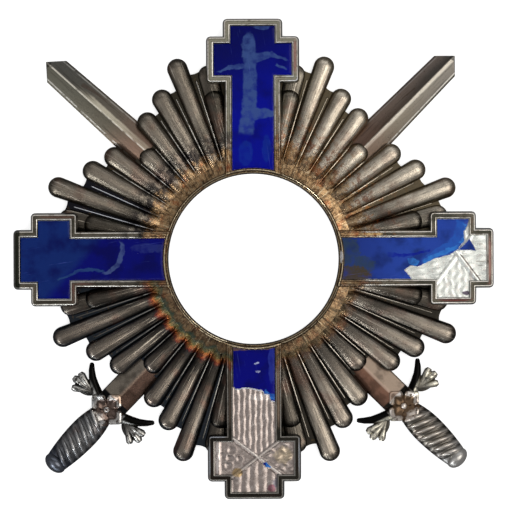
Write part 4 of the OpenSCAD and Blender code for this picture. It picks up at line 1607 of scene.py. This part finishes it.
def place_camera(context, height):
    """A camera straight above the badge, framed as a picture of 508 by 515 points."""
    picture_h = 515
    points_per_mm = 7.97
    middle_z = 0.0015
    aside, up, turn = 0.00006, 0.00017, math.radians(-0.26)
    sensor = 36
    bpy.ops.object.camera_add(location=(aside, up, height), rotation=(0, 0, turn))
    camera = bpy.context.object
    camera.name = "camera"
    camera.data.sensor_width = sensor
    camera.data.sensor_fit = "AUTO"
    camera.data.lens = sensor * (height - middle_z) / (picture_h / points_per_mm * MM)
    camera.data.clip_start = 0.01
    context.scene.camera = camera


class INSIGNIA_OT_star(bpy.types.Operator):
    """Models the star of rays and tones its silver"""

    bl_idname = "insignia.star"
    bl_label = "Star"

    def execute(self, context):
        sizes = in_mm(context.scene.insignia_star)
        finishes = {
            "ray": silver_finish("ray_silver", ray_colour, 0.3, pitting=0.6, drawn=1.3, grime=0.1),
            "groove": silver_finish("groove_silver", groove_colour, 0.42),
            "line": silver_finish("line_silver", line_colour, 0.26, pitting=0.3),
            "collar": silver_finish("collar_silver", groove_colour, 0.4, pitting=0.8),
        }
        star = make_star(sizes, cross_sizes(context), in_mm(context.scene.insignia_sword), finishes)
        finish_piece(star, "silver_star", "ray_star", "toned_silver")
        return {"FINISHED"}


class INSIGNIA_OT_cross(bpy.types.Operator):
    """Models the four framed arms and the ring round the seat"""

    bl_idname = "insignia.cross"
    bl_label = "Cross"

    def execute(self, context):
        silver = silver_finish("frame_silver", frame_colour, 0.3, pitting=0.3, grime=0.08)
        cross = make_cross(cross_sizes(context))
        finish_piece(cross, "silver_cross", "cross_frame", "toned_silver", silver)
        return {"FINISHED"}


class INSIGNIA_OT_enamel(bpy.types.Operator):
    """Lays the enamel in the four arms, whole or broken"""

    bl_idname = "insignia.enamel"
    bl_label = "Enamel"

    def execute(self, context):
        sizes = cross_sizes(context)
        colours = context.scene.insignia_enamel
        looks = enamel_looks()
        broken = {"right": (RIGHT_EDGE, RIGHT_FLAKE), "bottom": (BOTTOM_EDGE, BOTTOM_FLAKE)}
        for seed, (arm, angle) in enumerate(ARM_ANGLES.items()):
            inner, outer = getattr(colours, f"{arm}_inner"), getattr(colours, f"{arm}_outer")
            glass = enamel_finish(f"glass_{arm}", angle, looks[arm], inner, outer)
            if arm in broken:
                edge, flake_outline = broken[arm]
                flake = placed(make_flake(sizes, flake_outline, seed), angle)
                finish_piece(flake, f"flake_{arm}", f"enamel_{arm}_flake", "blue_enamel", glass)
                slab = broken_slab(sizes, edge, seed)
            else:
                slab = make_slab(sizes)
            finish_piece(placed(slab, angle), f"glass_{arm}", f"enamel_{arm}", "blue_enamel", glass)
        return {"FINISHED"}


class INSIGNIA_OT_swords(bpy.types.Operator):
    """Models the two blades and the two hilts"""

    bl_idname = "insignia.swords"
    bl_label = "Swords"

    def execute(self, context):
        sizes = in_mm(context.scene.insignia_sword)
        blade = make_blade(sizes)
        for side, place in BLADES.items():
            rule = blade_colour(place, BLADE_LOOKS[side], sizes)
            silver = silver_finish(f"blade_silver_{side}", rule, 0.32, pitting=0.3)
            piece = copy_of(blade, *place)
            finish_piece(piece, f"blade_{side}", f"sword_blade_{side}", "toned_silver", silver, smooth=12)
        hilt = make_hilt(sizes)
        for side, place in HILTS.items():
            rule = hilt_colour(place[0], HILT_LOOKS[side])
            silver = silver_finish(f"hilt_silver_{side}", rule, 0.34, pitting=0.3, grime=0.1)
            piece = copy_of(hilt, *place)
            finish_piece(piece, f"hilt_{side}", f"sword_hilt_{side}", "dark_silver", silver)
        discard([blade, hilt])
        return {"FINISHED"}


class INSIGNIA_OT_pin(bpy.types.Operator):
    """Models the pin on the back"""

    bl_idname = "insignia.pin"
    bl_label = "Pin"

    def execute(self, context):
        metal = silver_finish("pin_silver", pin_colour, 0.35)
        finish_piece(make_pin(), "pin", "back_pin", "pin_metal", metal)
        return {"FINISHED"}


class INSIGNIA_PT_panel(bpy.types.Panel):
    """Lists the steps, the sizes and the colours"""

    bl_idname = "INSIGNIA_PT_panel"
    bl_label = "Order Insignia"
    bl_space_type = "VIEW_3D"
    bl_region_type = "UI"
    bl_category = "Insignia"

    def draw(self, context):
        for step in STEPS:
            self.layout.operator(step.bl_idname)
        for title, (_, attribute) in GROUPS.items():
            group = getattr(context.scene, attribute)
            box = self.layout.box()
            box.label(text=title)
            for name in type(group).__annotations__:
                box.prop(group, name)


STEPS = (
    INSIGNIA_OT_stage,
    INSIGNIA_OT_star,
    INSIGNIA_OT_cross,
    INSIGNIA_OT_enamel,
    INSIGNIA_OT_swords,
    INSIGNIA_OT_pin,
)
GROUPS = {
    "Cross": (CrossSizes, "insignia_cross"),
    "Star": (StarSizes, "insignia_star"),
    "Swords": (SwordSizes, "insignia_sword"),
    "Enamel": (EnamelColours, "insignia_enamel"),
    "Stage": (StageSettings, "insignia_stage"),
}


def register():
    for group, attribute in GROUPS.values():
        bpy.utils.register_class(group)
        setattr(bpy.types.Scene, attribute, PointerProperty(type=group))
    for step in STEPS:
        bpy.utils.register_class(step)
    bpy.utils.register_class(INSIGNIA_PT_panel)


def unregister():
    bpy.utils.unregister_class(INSIGNIA_PT_panel)
    for step in reversed(STEPS):
        bpy.utils.unregister_class(step)
    for group, attribute in GROUPS.values():
        delattr(bpy.types.Scene, attribute)
        bpy.utils.unregister_class(group)


def main():
    register()
    bpy.ops.insignia.stage()
    bpy.ops.insignia.star()
    bpy.ops.insignia.cross()
    bpy.ops.insignia.enamel()
    bpy.ops.insignia.swords()
    bpy.ops.insignia.pin()


if __name__ == "__main__":
    main()
